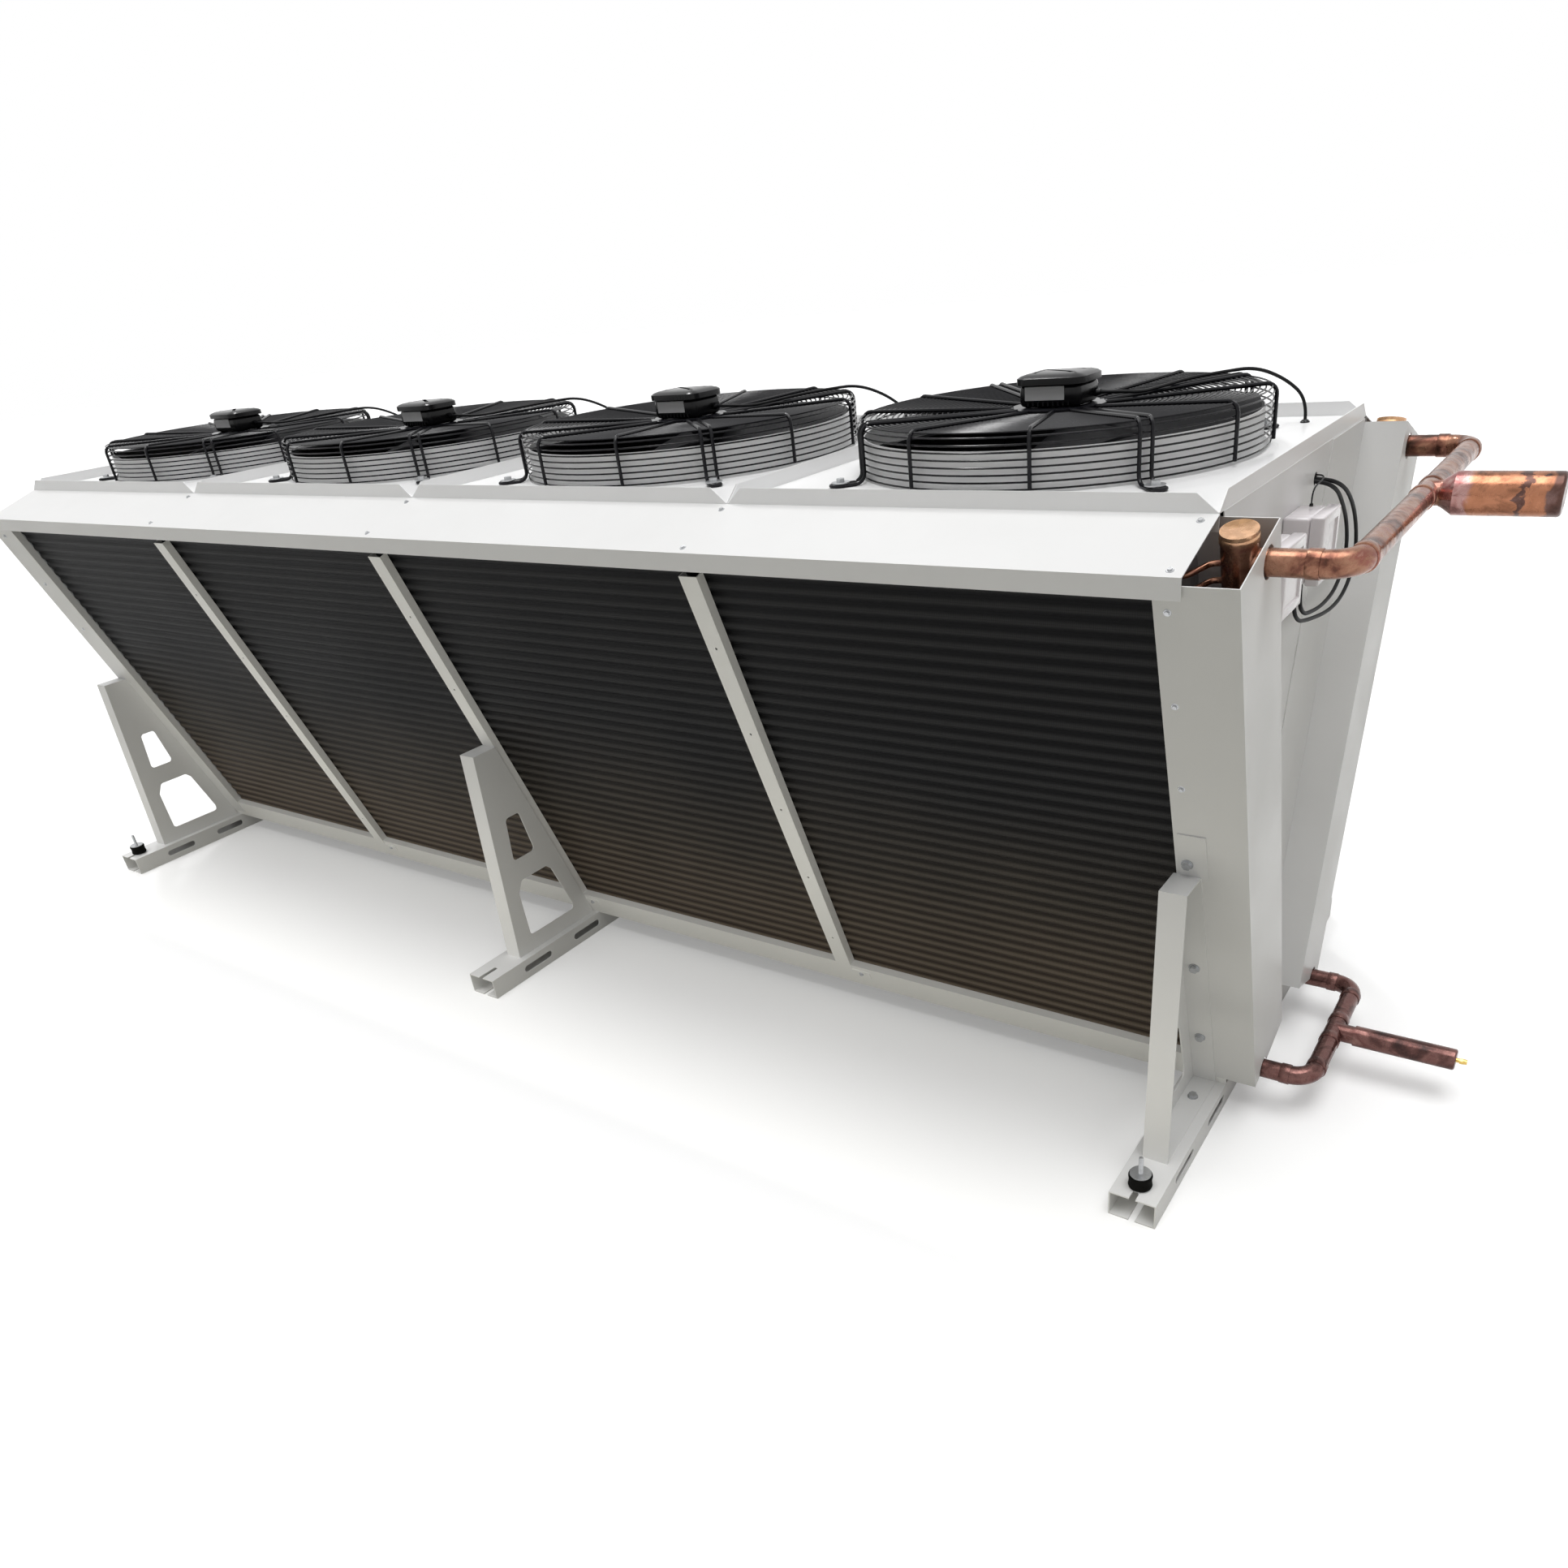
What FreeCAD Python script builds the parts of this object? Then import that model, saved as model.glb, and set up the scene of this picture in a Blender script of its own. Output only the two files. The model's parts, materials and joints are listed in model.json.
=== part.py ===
import FreeCAD, Part
import math
import os
import re

import Sketcher
from FreeCAD import Placement, Rotation, Vector

# Air-cooled condenser: two finned coils lean outward as a V on three foot rails,
# and four axial fans on a flanged deck draw air up between them.
# Frame: X along the row with the header end at +X, -Y the front, Z up,
# origin at the middle of the middle foot rail's underside. Millimetres.

# Driving dimensions

SIZES = {
    # deck and fan panels
    "fan_pitch": 1000, "deck_depth": 1000, "deck_height": 1360, "sheet_wall": 2,
    "deck_flange": 29, "flange_notch": 38, "panel_gap": 2,
    "ring_radius": 403, "ring_height": 78, "ring_round": 30,
    # coil banks: up-slope measures start at floor level in the bank's outer plane
    "coil_tilt": 18.5, "bank_overhang": 191, "coil_recess": 22, "coil_thickness": 90,
    "coil_low": 105, "coil_drop": 16, "coil_inset_left": 97, "coil_inset_right": 49,
    "tube_pitch": 31, "tube_ridge": 4, "tube_radius": 6, "bend_reach": 34,
    # end covers of the banks
    "cover_low": 84, "cover_drop": 10.6, "cover_depth": 200,
    "cover_reach_right": 88, "cover_reach_left": 34,
    # bottom rails, straps and cowls
    "sill_top": 137, "sill_foot": 40, "strap_width": 47, "strap_low": 100,
    "tab_reach": 55, "tab_height": 22, "strap_hole": 3, "strap_hole_low": 241,
    "strap_hole_step": 226.5,
    "cowl_reach": 170, "cowl_drop": 60, "cowl_lip": 36, "cowl_flange": 28,
    "seat_flange": 35,
    # closing plates of the plenum
    "trough_height": 112, "trough_lip": 40, "seam_offset": 270, "seat_gap": 0.3,
    # foot rails and brackets
    "rail_length": 1400, "rail_width": 100, "rail_height": 60, "rail_wall": 3,
    "rail_inset_right": 28, "rail_reach_left": 4,
    "slot_length": 110, "slot_height": 20, "slot_outer": 525, "slot_inner": 318,
    "end_slot": 60, "end_slot_width": 14,
    "bracket_width": 54, "bracket_wall": 3, "bracket_top": 690, "bracket_head": 547,
    "bracket_toe": 570, "window_round": 12, "anchor_tab": 100, "anchor_bolt": 30,
    "rail_bolt_y": 334,
    # vibration mounts standing on the rails
    "buffer_radius": 25, "buffer_height": 35, "stud_radius": 5, "stud_reach": 40,
    "mount_setback": 45,
    # fans
    "guard_radius": 422, "guard_height": 115, "guard_wire": 3, "guard_rod": 4,
    "guard_foot": 12, "rod_angle": 17, "foot_x": 332, "foot_y": 332, "foot_spread": 12,
    "foot_tip": 22,
    "crown_height": 99, "crown_inner": 62, "crown_outer": 98, "crown_wall": 4,
    "impeller_gap": 6, "blade_count": 5, "blade_centre": 50, "blade_wall": 5,
    "root_chord": 130, "root_pitch": 34, "tip_chord": 250, "tip_pitch": 17,
    "rotor_radius": 112, "rotor_low": 14, "rotor_top": 86, "rotor_wall": 8,
    "shaft_radius": 10, "shaft_gap": 0.05, "stator_radius": 95,
    "terminal_length": 150, "terminal_width": 120, "terminal_height": 44,
    "terminal_lid": 20, "terminal_flare": 7, "terminal_round": 6, "box_gland": 16,
    "box_gland_radius": 8, "box_gland_y": 20,
    # refrigerant pipes
    "header_radius": 30, "header_reach": 44, "header_depth": 137, "header_rise": 16,
    "header_low": 300, "header_cap": 18, "gas_drop": 68, "gas_radius": 22, "gas_reach": 215,
    "stub_radius": 38, "stub_neck": 47, "stub_length": 172, "stub_offset": 20,
    "liquid_header_reach": 36, "liquid_header_radius": 24, "liquid_depth": 57,
    "liquid_radius": 21,
    "liquid_height": 97, "liquid_reach": 190, "liquid_branch": 258,
    "branch_radius": 24, "liquid_high": 1290, "pipe_wall": 1.5, "elbow_radius": 52,
    "pipe_clearance": 5, "feeder_radius": 5, "feeder_bend": 20,
    "valve_radius": 5, "valve_length": 22,
    # electrical boxes on the end panel
    "box_width": 124, "box_height": 125, "box_base": 50, "box_depth": 75,
    "box_drop": 210, "box_rear_edge": 0, "box_front_edge": -241, "box_wall": 3,
    "box_round": 4, "cable_radius": 4, "thin_radius": 1.5, "cable_hole_y": 98,
    "cable_hole_drop": 59, "gland_length": 14, "gland_radius": 9.5, "gland_front": -83,
    "gland_middle": -41, "gland_rear": -22, "conduit_radius": 3.5, "conduit_x": 393,
    "conduit_y": 410, "grommet_radius": 10, "grommet_height": 6,
    # screws and bolts
    "screw_radius": 6, "screw_head": 4, "screw_drop": 48, "screw_spacing": 182,
    "bolt_radius": 9, "bolt_head": 7, "bolt_shank": 5, "washer_radius": 19,
    "washer_wall": 2, "bolt_low": 225, "bolt_high": 459,
}

# Dimensions that follow from the driving ones
FOLLOWING = {
    "cabinet_half": "2 * fan_pitch",
    "coil_left": "cabinet_half - coil_inset_left",
    "coil_right": "cabinet_half - coil_inset_right",
    "cover_left": "cabinet_half + cover_reach_left",
    "cover_right": "cabinet_half + cover_reach_right",
    "rail_left": "cabinet_half + rail_reach_left",
    "rail_right": "cabinet_half - rail_inset_right",
    "bank_foot": "deck_depth / 2 + bank_overhang - deck_height * tan(coil_tilt * 1 deg)",
    "cover_top_z": "deck_height - cover_drop - cover_depth * sin(coil_tilt * 1 deg)",
    "cover_high": "cover_top_z / cos(coil_tilt * 1 deg)",
    "coil_high": "cover_high - coil_drop",
    "cowl_half": "deck_depth / 2 + cowl_reach",
    "cowl_fold": "deck_height - cowl_drop",
    "header_x": "cabinet_half + header_reach",
    "header_high": "cover_high + header_rise",
    "gas_height": "deck_height - gas_drop",
    "gas_line_x": "cabinet_half + gas_reach",
    "stub_start": "gas_line_x + stub_neck",
    "stub_end": "stub_start + stub_length",
    "liquid_header_x": "cabinet_half + liquid_header_reach",
    "liquid_line_x": "cabinet_half + liquid_reach",
    "liquid_end": "liquid_line_x + liquid_branch",
    "box_low": "deck_height - box_drop",
    "cable_hole_z": "deck_height - cable_hole_drop",
}

doc = FreeCAD.newDocument("condenser")
sheet = doc.addObject("Spreadsheet::Sheet", "Sizes")
for row, (alias, entry) in enumerate({**SIZES, **FOLLOWING}.items(), 1):
    sheet.set(f"A{row}", alias)
    sheet.set(f"B{row}", f"={entry}" if alias in FOLLOWING else str(entry))
    sheet.setAlias(f"B{row}", alias)
doc.recompute()

FANS = (1, 2, 3, 4)
CELL_JOINTS = (-1, 0, 1)
TILT_SIN = "sin(coil_tilt * 1 deg)"
TILT_COS = "cos(coil_tilt * 1 deg)"
TILT_TAN = "tan(coil_tilt * 1 deg)"


def size(alias):
    """Value of one dimension."""
    return float(sheet.get(alias))


def tied(text):
    """Expression text with each size name pointing at its cell."""
    known = {**SIZES, **FOLLOWING}
    return re.sub(r"[a-z][a-z_]+", lambda m: f"Sizes.{m[0]}" if m[0] in known else m[0], text)


def bind(obj, **rules):
    """Bind properties to sizes; a double underscore stands for a dot."""
    for name, text in rules.items():
        obj.setExpression(name.replace("__", "."), tied(text))


# Places on a bank: depth is measured inward from its outer plane, up is up its slope

def bank_y(depth, up):
    return f"(-bank_foot + ({depth}) * {TILT_COS} - ({up}) * {TILT_SIN})"


def bank_z(depth, up):
    return f"(({depth}) * {TILT_SIN} + ({up}) * {TILT_COS})"


def plane_y(depth, height):
    """Y of the front bank's plane at a depth, at a height above the floor."""
    return f"(-bank_foot + ({depth}) / {TILT_COS} - ({height}) * {TILT_TAN})"


# Feature helpers

def new_body(name, **rules):
    body = doc.addObject("PartDesign::Body", name)
    bind(body, **rules)
    return body


def bank_body(name):
    """Body standing in the front bank's own leaning frame."""
    body = doc.addObject("PartDesign::Body", name)
    body.Placement = Placement(Vector(), Rotation(Vector(1, 0, 0), size("coil_tilt")))
    bind(body, Placement__Base__y="-bank_foot", Placement__Rotation__Angle="coil_tilt")
    return body


def sketch_on(body, plane, offset="0"):
    sketch = body.newObject("Sketcher::SketchObject", body.Name + "_sketch")
    support = [o for o in body.Origin.OriginFeatures if o.Role == plane][0]
    sketch.AttachmentSupport = (support, [""])
    sketch.MapMode = "FlatFace"
    bind(sketch, AttachmentOffset__Base__z=offset)
    return sketch


def add_outline(sketch, corners):
    """Closed outline; each corner is a pair of expressions."""
    count = len(corners)
    first = sketch.GeometryCount
    turn = 2 * math.pi / count
    ring = [Vector(500 * math.cos(i * turn), 500 * math.sin(i * turn), 0) for i in range(count)]
    for i in range(count):
        sketch.addGeometry(Part.LineSegment(ring[i], ring[(i + 1) % count]))
    for i in range(count):
        after = first + (i + 1) % count
        sketch.addConstraint(Sketcher.Constraint("Coincident", first + i, 2, after, 1))
    for i, (across, along) in enumerate(corners):
        for kind, place, text in (("DistanceX", ring[i].x, across), ("DistanceY", ring[i].y, along)):
            link = sketch.addConstraint(Sketcher.Constraint(kind, -1, 1, first + i, 1, place))
            sketch.setExpression(f"Constraints[{link}]", tied(text))


def add_circle(sketch, across, along, radius):
    geo = sketch.addGeometry(Part.Circle(Vector(40, 40, 0), Vector(0, 0, 1), 10))
    rules = (("DistanceX", across), ("DistanceY", along))
    for kind, text in rules:
        link = sketch.addConstraint(Sketcher.Constraint(kind, -1, 1, geo, 3, 40.0))
        sketch.setExpression(f"Constraints[{link}]", tied(text))
    link = sketch.addConstraint(Sketcher.Constraint("Radius", geo, 10.0))
    sketch.setExpression(f"Constraints[{link}]", tied(radius))


def pad(body, sketch, length, reverse=False):
    feature = body.newObject("PartDesign::Pad", body.Name + "_pad")
    feature.Profile = sketch
    feature.Reversed = reverse
    bind(feature, Length=length)
    sketch.Visibility = False
    return feature


def pocket(body, sketch, length, reverse=False):
    """Cut that must take material away."""
    doc.recompute()
    before = body.Shape.Volume
    feature = body.newObject("PartDesign::Pocket", body.Name + "_pocket")
    feature.Profile = sketch
    feature.Reversed = reverse
    bind(feature, Length=length)
    doc.recompute()
    if body.Shape.Volume > before - 0.1:
        raise ValueError(f"{body.Name}: a pocket cut nothing")
    return feature


def round_edges(body, radius, choose):
    """Fillet the edges that the test picks, from the body's present shape."""
    doc.recompute()
    base = body.Tip
    names = [f"Edge{i}" for i, edge in enumerate(base.Shape.Edges, 1) if choose(edge)]
    feature = body.newObject("PartDesign::Fillet", body.Name + "_fillet")
    feature.Base = (base, names)
    bind(feature, Radius=radius)
    doc.recompute()
    return feature


def mirrored(source, name):
    """The same piece on the rear bank."""
    twin = doc.addObject("Part::Mirroring", name)
    twin.Source = source
    twin.Normal = Vector(0, 1, 0)
    return twin


def grouped(name, pieces):
    group = doc.addObject("Part::Compound", name)
    group.Links = pieces
    return group


def shaped(name, shape, place=None):
    feature = doc.addObject("Part::Feature", name)
    feature.Shape = shape
    if place is not None:
        feature.Placement = place
    return feature


nodes = []


def keep(piece, label):
    piece.Label = label
    nodes.append(piece)
    return piece


# Foot rails: box section, slotted in both sides, with open slots at the ends

def foot_rail(label, x):
    rail = new_body(label + "_body", Placement__Base__x=x)
    tube = sketch_on(rail, "XZ_Plane", "-rail_length / 2")
    half = "rail_width / 2"
    add_outline(tube, [(f"-{half}", "0"), (half, "0"), (half, "rail_height"), (f"-{half}", "rail_height")])
    wall = f"{half} - rail_wall"
    add_outline(tube, [(f"-({wall})", "rail_wall"), (wall, "rail_wall"),
                       (wall, "rail_height - rail_wall"), (f"-({wall})", "rail_height - rail_wall")])
    pad(rail, tube, "rail_length")
    side = sketch_on(rail, "YZ_Plane", half)
    low, high = "(rail_height - slot_height) / 2", "(rail_height + slot_height) / 2"
    ends = sketch_on(rail, "YZ_Plane", half)
    for middle in ("slot_outer", "slot_inner", "-slot_inner", "-slot_outer"):
        reach = "(slot_length - slot_height) / 2"
        add_outline(side, [(f"{middle} - {reach}", low), (f"{middle} + {reach}", low),
                           (f"{middle} + {reach}", high), (f"{middle} - {reach}", high)])
        add_circle(ends, f"{middle} - {reach}", "rail_height / 2", "slot_height / 2")
        add_circle(ends, f"{middle} + {reach}", "rail_height / 2", "slot_height / 2")
    pocket(rail, side, "rail_width")
    pocket(rail, ends, "rail_width")
    open_slot = sketch_on(rail, "XY_Plane", "rail_height")
    for sign in ("", "-"):
        inner, outer = f"{sign}(rail_length / 2 - end_slot)", f"{sign}(rail_length / 2)"
        add_outline(open_slot, [("-end_slot_width / 2", inner), ("end_slot_width / 2", inner),
                                ("end_slot_width / 2", outer), ("-end_slot_width / 2", outer)])
    pocket(rail, open_slot, "rail_height")
    return keep(rail, label)


RAILS = {"left": "-rail_left", "middle": "0", "right": "rail_right"}
for side, x in RAILS.items():
    foot_rail(f"foot_rail_{side}", x)


# Brackets: windowed web with folded flanges, from the rail up to the bank's outer plane

def bracket(side, x, turn):
    """turn is 1 where the web is on the +X side and the flanges reach to -X."""
    piece = new_body(f"bracket_{side}_body", Placement__Base__x=x)
    web_face = "bracket_width / 2"
    face = f"-{web_face}" if turn < 0 else f"{web_face} - bracket_wall"
    top, base = "bracket_top", "rail_height"
    shell = sketch_on(piece, "YZ_Plane", "-bracket_width / 2")
    wall = "bracket_wall"
    outer = [("-bracket_toe", base), (plane_y("0", base), base),
             (plane_y("0", top), top), ("-bracket_head", top)]
    inner_base, inner_top = f"{base} + {wall}", f"{top} - {wall}"
    inner = [(f"-bracket_toe + {wall}", inner_base), (plane_y(f"-{wall}", inner_base), inner_base),
             (plane_y(f"-{wall}", inner_top), inner_top), (f"-bracket_head + {wall}", inner_top)]
    add_outline(shell, outer)
    add_outline(shell, inner)
    pad(piece, shell, "bracket_width")
    web = sketch_on(piece, "YZ_Plane", face)
    add_outline(web, outer)
    upper = [("-bracket_toe + 67", f"{top} - 338"), ("-bracket_toe + 150", f"{top} - 338"),
             ("-bracket_toe + 126", f"{top} - 207"), ("-bracket_toe + 75", f"{top} - 207")]
    lower = [("-bracket_toe + 60", f"{base} + 48"), ("-bracket_toe + 240", f"{base} + 48"),
             ("-bracket_toe + 240", f"{base} + 68"), ("-bracket_toe + 192", f"{base} + 210"),
             ("-bracket_toe + 175", f"{base} + 226"), ("-bracket_toe + 76", f"{base} + 226"),
             ("-bracket_toe + 56", f"{base} + 190")]
    add_outline(web, upper)
    add_outline(web, lower)
    pad(piece, web, "bracket_wall")
    thin = size("bracket_wall")
    round_edges(piece, "window_round", lambda edge: abs(edge.BoundBox.XLength - thin) < 0.01
                and abs(edge.Length - thin) < 0.01)
    return piece


def anchor_tab(piece):
    """Ear on the header end's bracket that reaches up the cover to a bolt."""
    ear = sketch_on(piece, "YZ_Plane", "-bracket_width / 4")
    low, high = "bracket_top - bracket_wall", "bracket_top + anchor_tab"
    out = f"bracket_wall / {TILT_COS}"
    add_outline(ear, [(f"{plane_y('0', low)} - {out}", low), (plane_y("0", low), low),
                      (plane_y("0", high), high), (f"{plane_y('0', high)} - {out}", high)])
    pad(piece, ear, "bracket_width")


for side, x, turn in (("left", "-rail_left", 1), ("middle", "0", 1), ("right", "rail_right", -1)):
    front = bracket(side, x, turn)
    if side == "right":
        anchor_tab(front)
    keep(front, f"bracket_front_{side}")
    keep(mirrored(front, f"bracket_rear_{side}_twin"), f"bracket_rear_{side}")


# Vibration mounts: rubber buffers bonded on studs, set in the end slots of two rails

def mount_parts(side, x):
    buffer = doc.addObject("Part::Cylinder", f"buffer_{side}")
    spot = "-rail_length / 2 + mount_setback"
    bind(buffer, Radius="buffer_radius", Height="buffer_height", Placement__Base__x=x,
         Placement__Base__y=spot, Placement__Base__z="rail_height")
    studs = []
    for name, height, low in (("upper", "stud_reach", "rail_height + buffer_height"),
                              ("lower", "rail_height / 2", "rail_height / 2")):
        stud = doc.addObject("Part::Cylinder", f"stud_{name}_{side}")
        bind(stud, Radius="stud_radius", Height=height, Placement__Base__x=x,
             Placement__Base__y=spot, Placement__Base__z=low)
        studs.append(stud)
    nut = doc.addObject("Part::Prism", f"nut_{side}")
    bind(nut, Circumradius="stud_radius * 2", Height="stud_radius", Placement__Base__x=x,
         Placement__Base__y=spot, Placement__Base__z="rail_height - rail_wall - stud_radius")
    lower = doc.addObject("Part::Fuse", f"stud_and_nut_{side}")
    lower.Base, lower.Tool = studs[1], nut
    return buffer, [studs[0], lower]


buffers, studs = [], []
for side in ("left", "right"):
    rubber, pins = mount_parts(side, RAILS[side])
    buffers.append(rubber)
    studs.extend(pins)
keep(grouped("buffer_group", buffers), "mount_buffers")
keep(grouped("stud_group", studs), "mount_studs")


# Coil banks: fin pack whose faces swell in a row of ridges over the tubes

def tube_rows():
    """Places of the tube rows up the slope, centred in the fin pack."""
    pitch, span = size("tube_pitch"), size("coil_high") - size("coil_low")
    count = int(span / pitch)
    first = size("coil_low") + (span - (count - 1) * pitch) / 2
    return [first + row * pitch for row in range(count)]


def coil_shape():
    """Fin pack with one ridge per tube row on both faces, in the bank's frame."""
    pitch, ridge = size("tube_pitch"), size("tube_ridge")
    face, back = size("coil_recess"), size("coil_recess") + size("coil_thickness")
    low, high = size("coil_low"), size("coil_high")
    front, rear = [], []
    for middle in tube_rows():
        for share, proud in ((-0.35, 0), (-0.1, ridge), (0.1, ridge), (0.35, 0)):
            front.append(Vector(0, face + ridge - proud, middle + share * pitch))
            rear.append(Vector(0, back - ridge + proud, middle + share * pitch))
    corners = [Vector(0, face + ridge, low)] + front + [Vector(0, face + ridge, high)]
    corners += [Vector(0, back - ridge, high)] + rear[::-1] + [Vector(0, back - ridge, low)]
    section = Part.Face(Part.makePolygon(corners + corners[:1]))
    section.translate(Vector(-size("coil_left"), 0, 0))
    return section.extrude(Vector(size("coil_left") + size("coil_right"), 0, 0))


def bank_place():
    tilt = Rotation(Vector(1, 0, 0), size("coil_tilt"))
    return Placement(Vector(0, -size("bank_foot"), 0), tilt)


coil = keep(shaped("coil_front_pack", coil_shape(), bank_place()), "coil_front")
keep(mirrored(coil, "coil_rear_twin"), "coil_rear")


def end_sheet(name, x):
    """Flanged end plate of the fin pack that the tubes pass through."""
    plate = bank_body(name)
    low = "cover_low + 2 * sheet_wall"
    outline = sketch_on(plate, "XY_Plane", low)
    far = "cover_depth - sheet_wall"
    add_outline(outline, [(x, "coil_recess"), (f"{x} + sheet_wall", "coil_recess"),
                          (f"{x} + sheet_wall", far), (x, far)])
    pad(plate, outline, f"coil_high - ({low})")
    return plate


sheets = [end_sheet("end_sheet_right", "coil_right"), end_sheet("end_sheet_left", "-coil_left - sheet_wall")]
sheets += [mirrored(piece, piece.Name + "_twin") for piece in sheets]
keep(grouped("end_sheet_group", sheets), "tube_sheets")


def return_bend_shape():
    """Row of hairpin bends on the left end sheet, one for each pair of tubes."""
    pitch, radius = size("tube_pitch"), size("tube_radius")
    x = -size("coil_left") - size("sheet_wall")
    depth = size("coil_recess") + size("coil_thickness") / 2
    straight = size("bend_reach") - pitch / 2 - radius
    bends, rows = [], tube_rows()
    for low, high in zip(rows[::2], rows[1::2]):
        corner = x - straight
        path = Part.Wire([
            Part.LineSegment(Vector(x, depth, low), Vector(corner, depth, low)).toShape(),
            Part.Arc(Vector(corner, depth, low), Vector(corner - pitch / 2, depth, low + pitch / 2),
                     Vector(corner, depth, high)).toShape(),
            Part.LineSegment(Vector(corner, depth, high), Vector(x, depth, high)).toShape()])
        ring = Part.Wire(Part.makeCircle(radius, Vector(x, depth, low), Vector(1, 0, 0)))
        bends.append(path.makePipeShell([ring], True, False))
    return Part.makeCompound(bends)


bends = shaped("return_bends_front", return_bend_shape(), bank_place())
keep(grouped("return_bend_group", [bends, mirrored(bends, "return_bends_rear")]), "return_bends")


# End covers: each folds round the end of a bank, from the fins to the plenum side

def end_cover(name, sign, near, far):
    cover = bank_body(name)
    outline = sketch_on(cover, "XY_Plane", "cover_low")
    edge, side = f"{sign}{near}", f"{sign}{far}"
    step = f"{'-' if sign else ''}sheet_wall"
    wall, deep = "sheet_wall", "cover_depth"
    add_outline(outline, [(edge, "coil_recess"), (edge, "0"), (side, "0"), (side, deep), (edge, deep),
                          (edge, f"{deep} - {wall}"), (f"{side} - {step}", f"{deep} - {wall}"),
                          (f"{side} - {step}", wall), (f"{edge} + {step}", wall),
                          (f"{edge} + {step}", "coil_recess")])
    pad(cover, outline, "cover_high - cover_low")
    return cover


def pipe_hole(cover, depth, up, radius):
    hole = sketch_on(cover, "YZ_Plane", "cover_right")
    add_circle(hole, depth, up, radius)
    pocket(cover, hole, "2 * sheet_wall")


# Where the two manifolds leave the right covers, in the bank's frame
GAS_UP = f"(gas_height - header_depth * {TILT_SIN}) / {TILT_COS}"
LIQUID_UP = f"(liquid_height - liquid_depth * {TILT_SIN}) / {TILT_COS}"

right_cover = end_cover("cover_right_body", "", "coil_right", "cover_right")
pipe_hole(right_cover, "header_depth", GAS_UP, "gas_radius + pipe_clearance")
pipe_hole(right_cover, "liquid_depth", LIQUID_UP, "liquid_radius + pipe_clearance")
left_cover = end_cover("cover_left_body", "-", "coil_left", "cover_left")
keep(right_cover, "header_cover_front")
keep(mirrored(right_cover, "header_cover_twin"), "header_cover_rear")
keep(left_cover, "bend_cover_front")
keep(mirrored(left_cover, "bend_cover_twin"), "bend_cover_rear")


# Sills: folded rails under the coils that stand on the foot rails

def along_row(name, corners, start, length):
    """Folded sheet running along the row, from its outline in Y and Z."""
    piece = new_body(name)
    outline = sketch_on(piece, "YZ_Plane", start)
    add_outline(outline, corners)
    pad(piece, outline, length)
    return piece


face, back = "sheet_wall", "2 * sheet_wall"
sill_low, sill_in = "rail_height", "rail_height + sheet_wall"
sill = along_row("sill_body", [
    (bank_y("coil_recess", "sill_top"), bank_z("coil_recess", "sill_top")),
    (bank_y(face, "sill_top"), bank_z(face, "sill_top")),
    (plane_y(face, sill_low), sill_low),
    (f"{plane_y(face, sill_low)} + sill_foot", sill_low),
    (f"{plane_y(face, sill_low)} + sill_foot", sill_in),
    (plane_y(back, sill_in), sill_in),
    (bank_y(back, "sill_top - sheet_wall"), bank_z(back, "sill_top - sheet_wall")),
    (bank_y("coil_recess", "sill_top - sheet_wall"), bank_z("coil_recess", "sill_top - sheet_wall")),
], "-coil_left", "coil_left + coil_right")
run_on = sketch_on(sill, "YZ_Plane", "-cover_left")
run_top = f"cover_low * {TILT_COS} - sheet_wall"
add_outline(run_on, [
    (plane_y(face, run_top), run_top), (plane_y(face, sill_low), sill_low),
    (f"{plane_y(face, sill_low)} + sill_foot", sill_low),
    (f"{plane_y(face, sill_low)} + sill_foot", sill_in),
    (plane_y(back, sill_in), sill_in), (plane_y(back, run_top), run_top)])
pad(sill, run_on, "cover_left + rail_right + rail_width / 2")
keep(sill, "sill_front")
keep(mirrored(sill, "sill_twin"), "sill_rear")


# Straps: channels up the fin face at the fan joints, each with a tab on the sill

def strap(name, x):
    piece = bank_body(name)
    bind(piece, Placement__Base__x=x)
    half, wall = "strap_width / 2", "sheet_wall"
    channel = sketch_on(piece, "XY_Plane", "sill_top")
    add_outline(channel, [(f"-{half}", "coil_recess"), (f"-{half}", "0"), (half, "0"), (half, "coil_recess"),
                          (f"{half} - {wall}", "coil_recess"), (f"{half} - {wall}", wall),
                          (f"-{half} + {wall}", wall), (f"-{half} + {wall}", "coil_recess")])
    pad(piece, channel, "coil_high - sill_top - coil_recess")
    foot = sketch_on(piece, "XZ_Plane")
    low = "strap_low"
    add_outline(foot, [(f"-{half}", "sill_top + 1"), (f"-{half}", low), (f"{half} + tab_reach", low),
                       (f"{half} + tab_reach", f"{low} + tab_height"), (half, f"{low} + tab_height"),
                       (half, "sill_top + 1")])
    pad(piece, foot, wall, reverse=True)
    holes = sketch_on(piece, "XZ_Plane")
    for i in range(5):
        add_circle(holes, "0", f"strap_hole_low + {i} * strap_hole_step", "strap_hole")
    pocket(piece, holes, wall)
    return piece


straps = [strap(f"strap_{i}", f"{joint} * fan_pitch") for i, joint in enumerate(CELL_JOINTS, 1)]
straps += [mirrored(piece, piece.Name + "_twin") for piece in straps]
keep(grouped("strap_group", straps), "coil_straps")


# Top seats: angles on the coils' upper ends that carry the deck

seat_y, seat_z = bank_y("coil_recess", "coil_high"), bank_z("coil_recess", "coil_high")
edge_y = "(-deck_depth / 2)"
under = "deck_height - sheet_wall"


def seat_line(y, lift):
    """Height of the seat's leg at a place in Y."""
    return f"{seat_z} + (({y}) - {seat_y}) * {TILT_TAN} + ({lift}) / {TILT_COS}"


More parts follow.
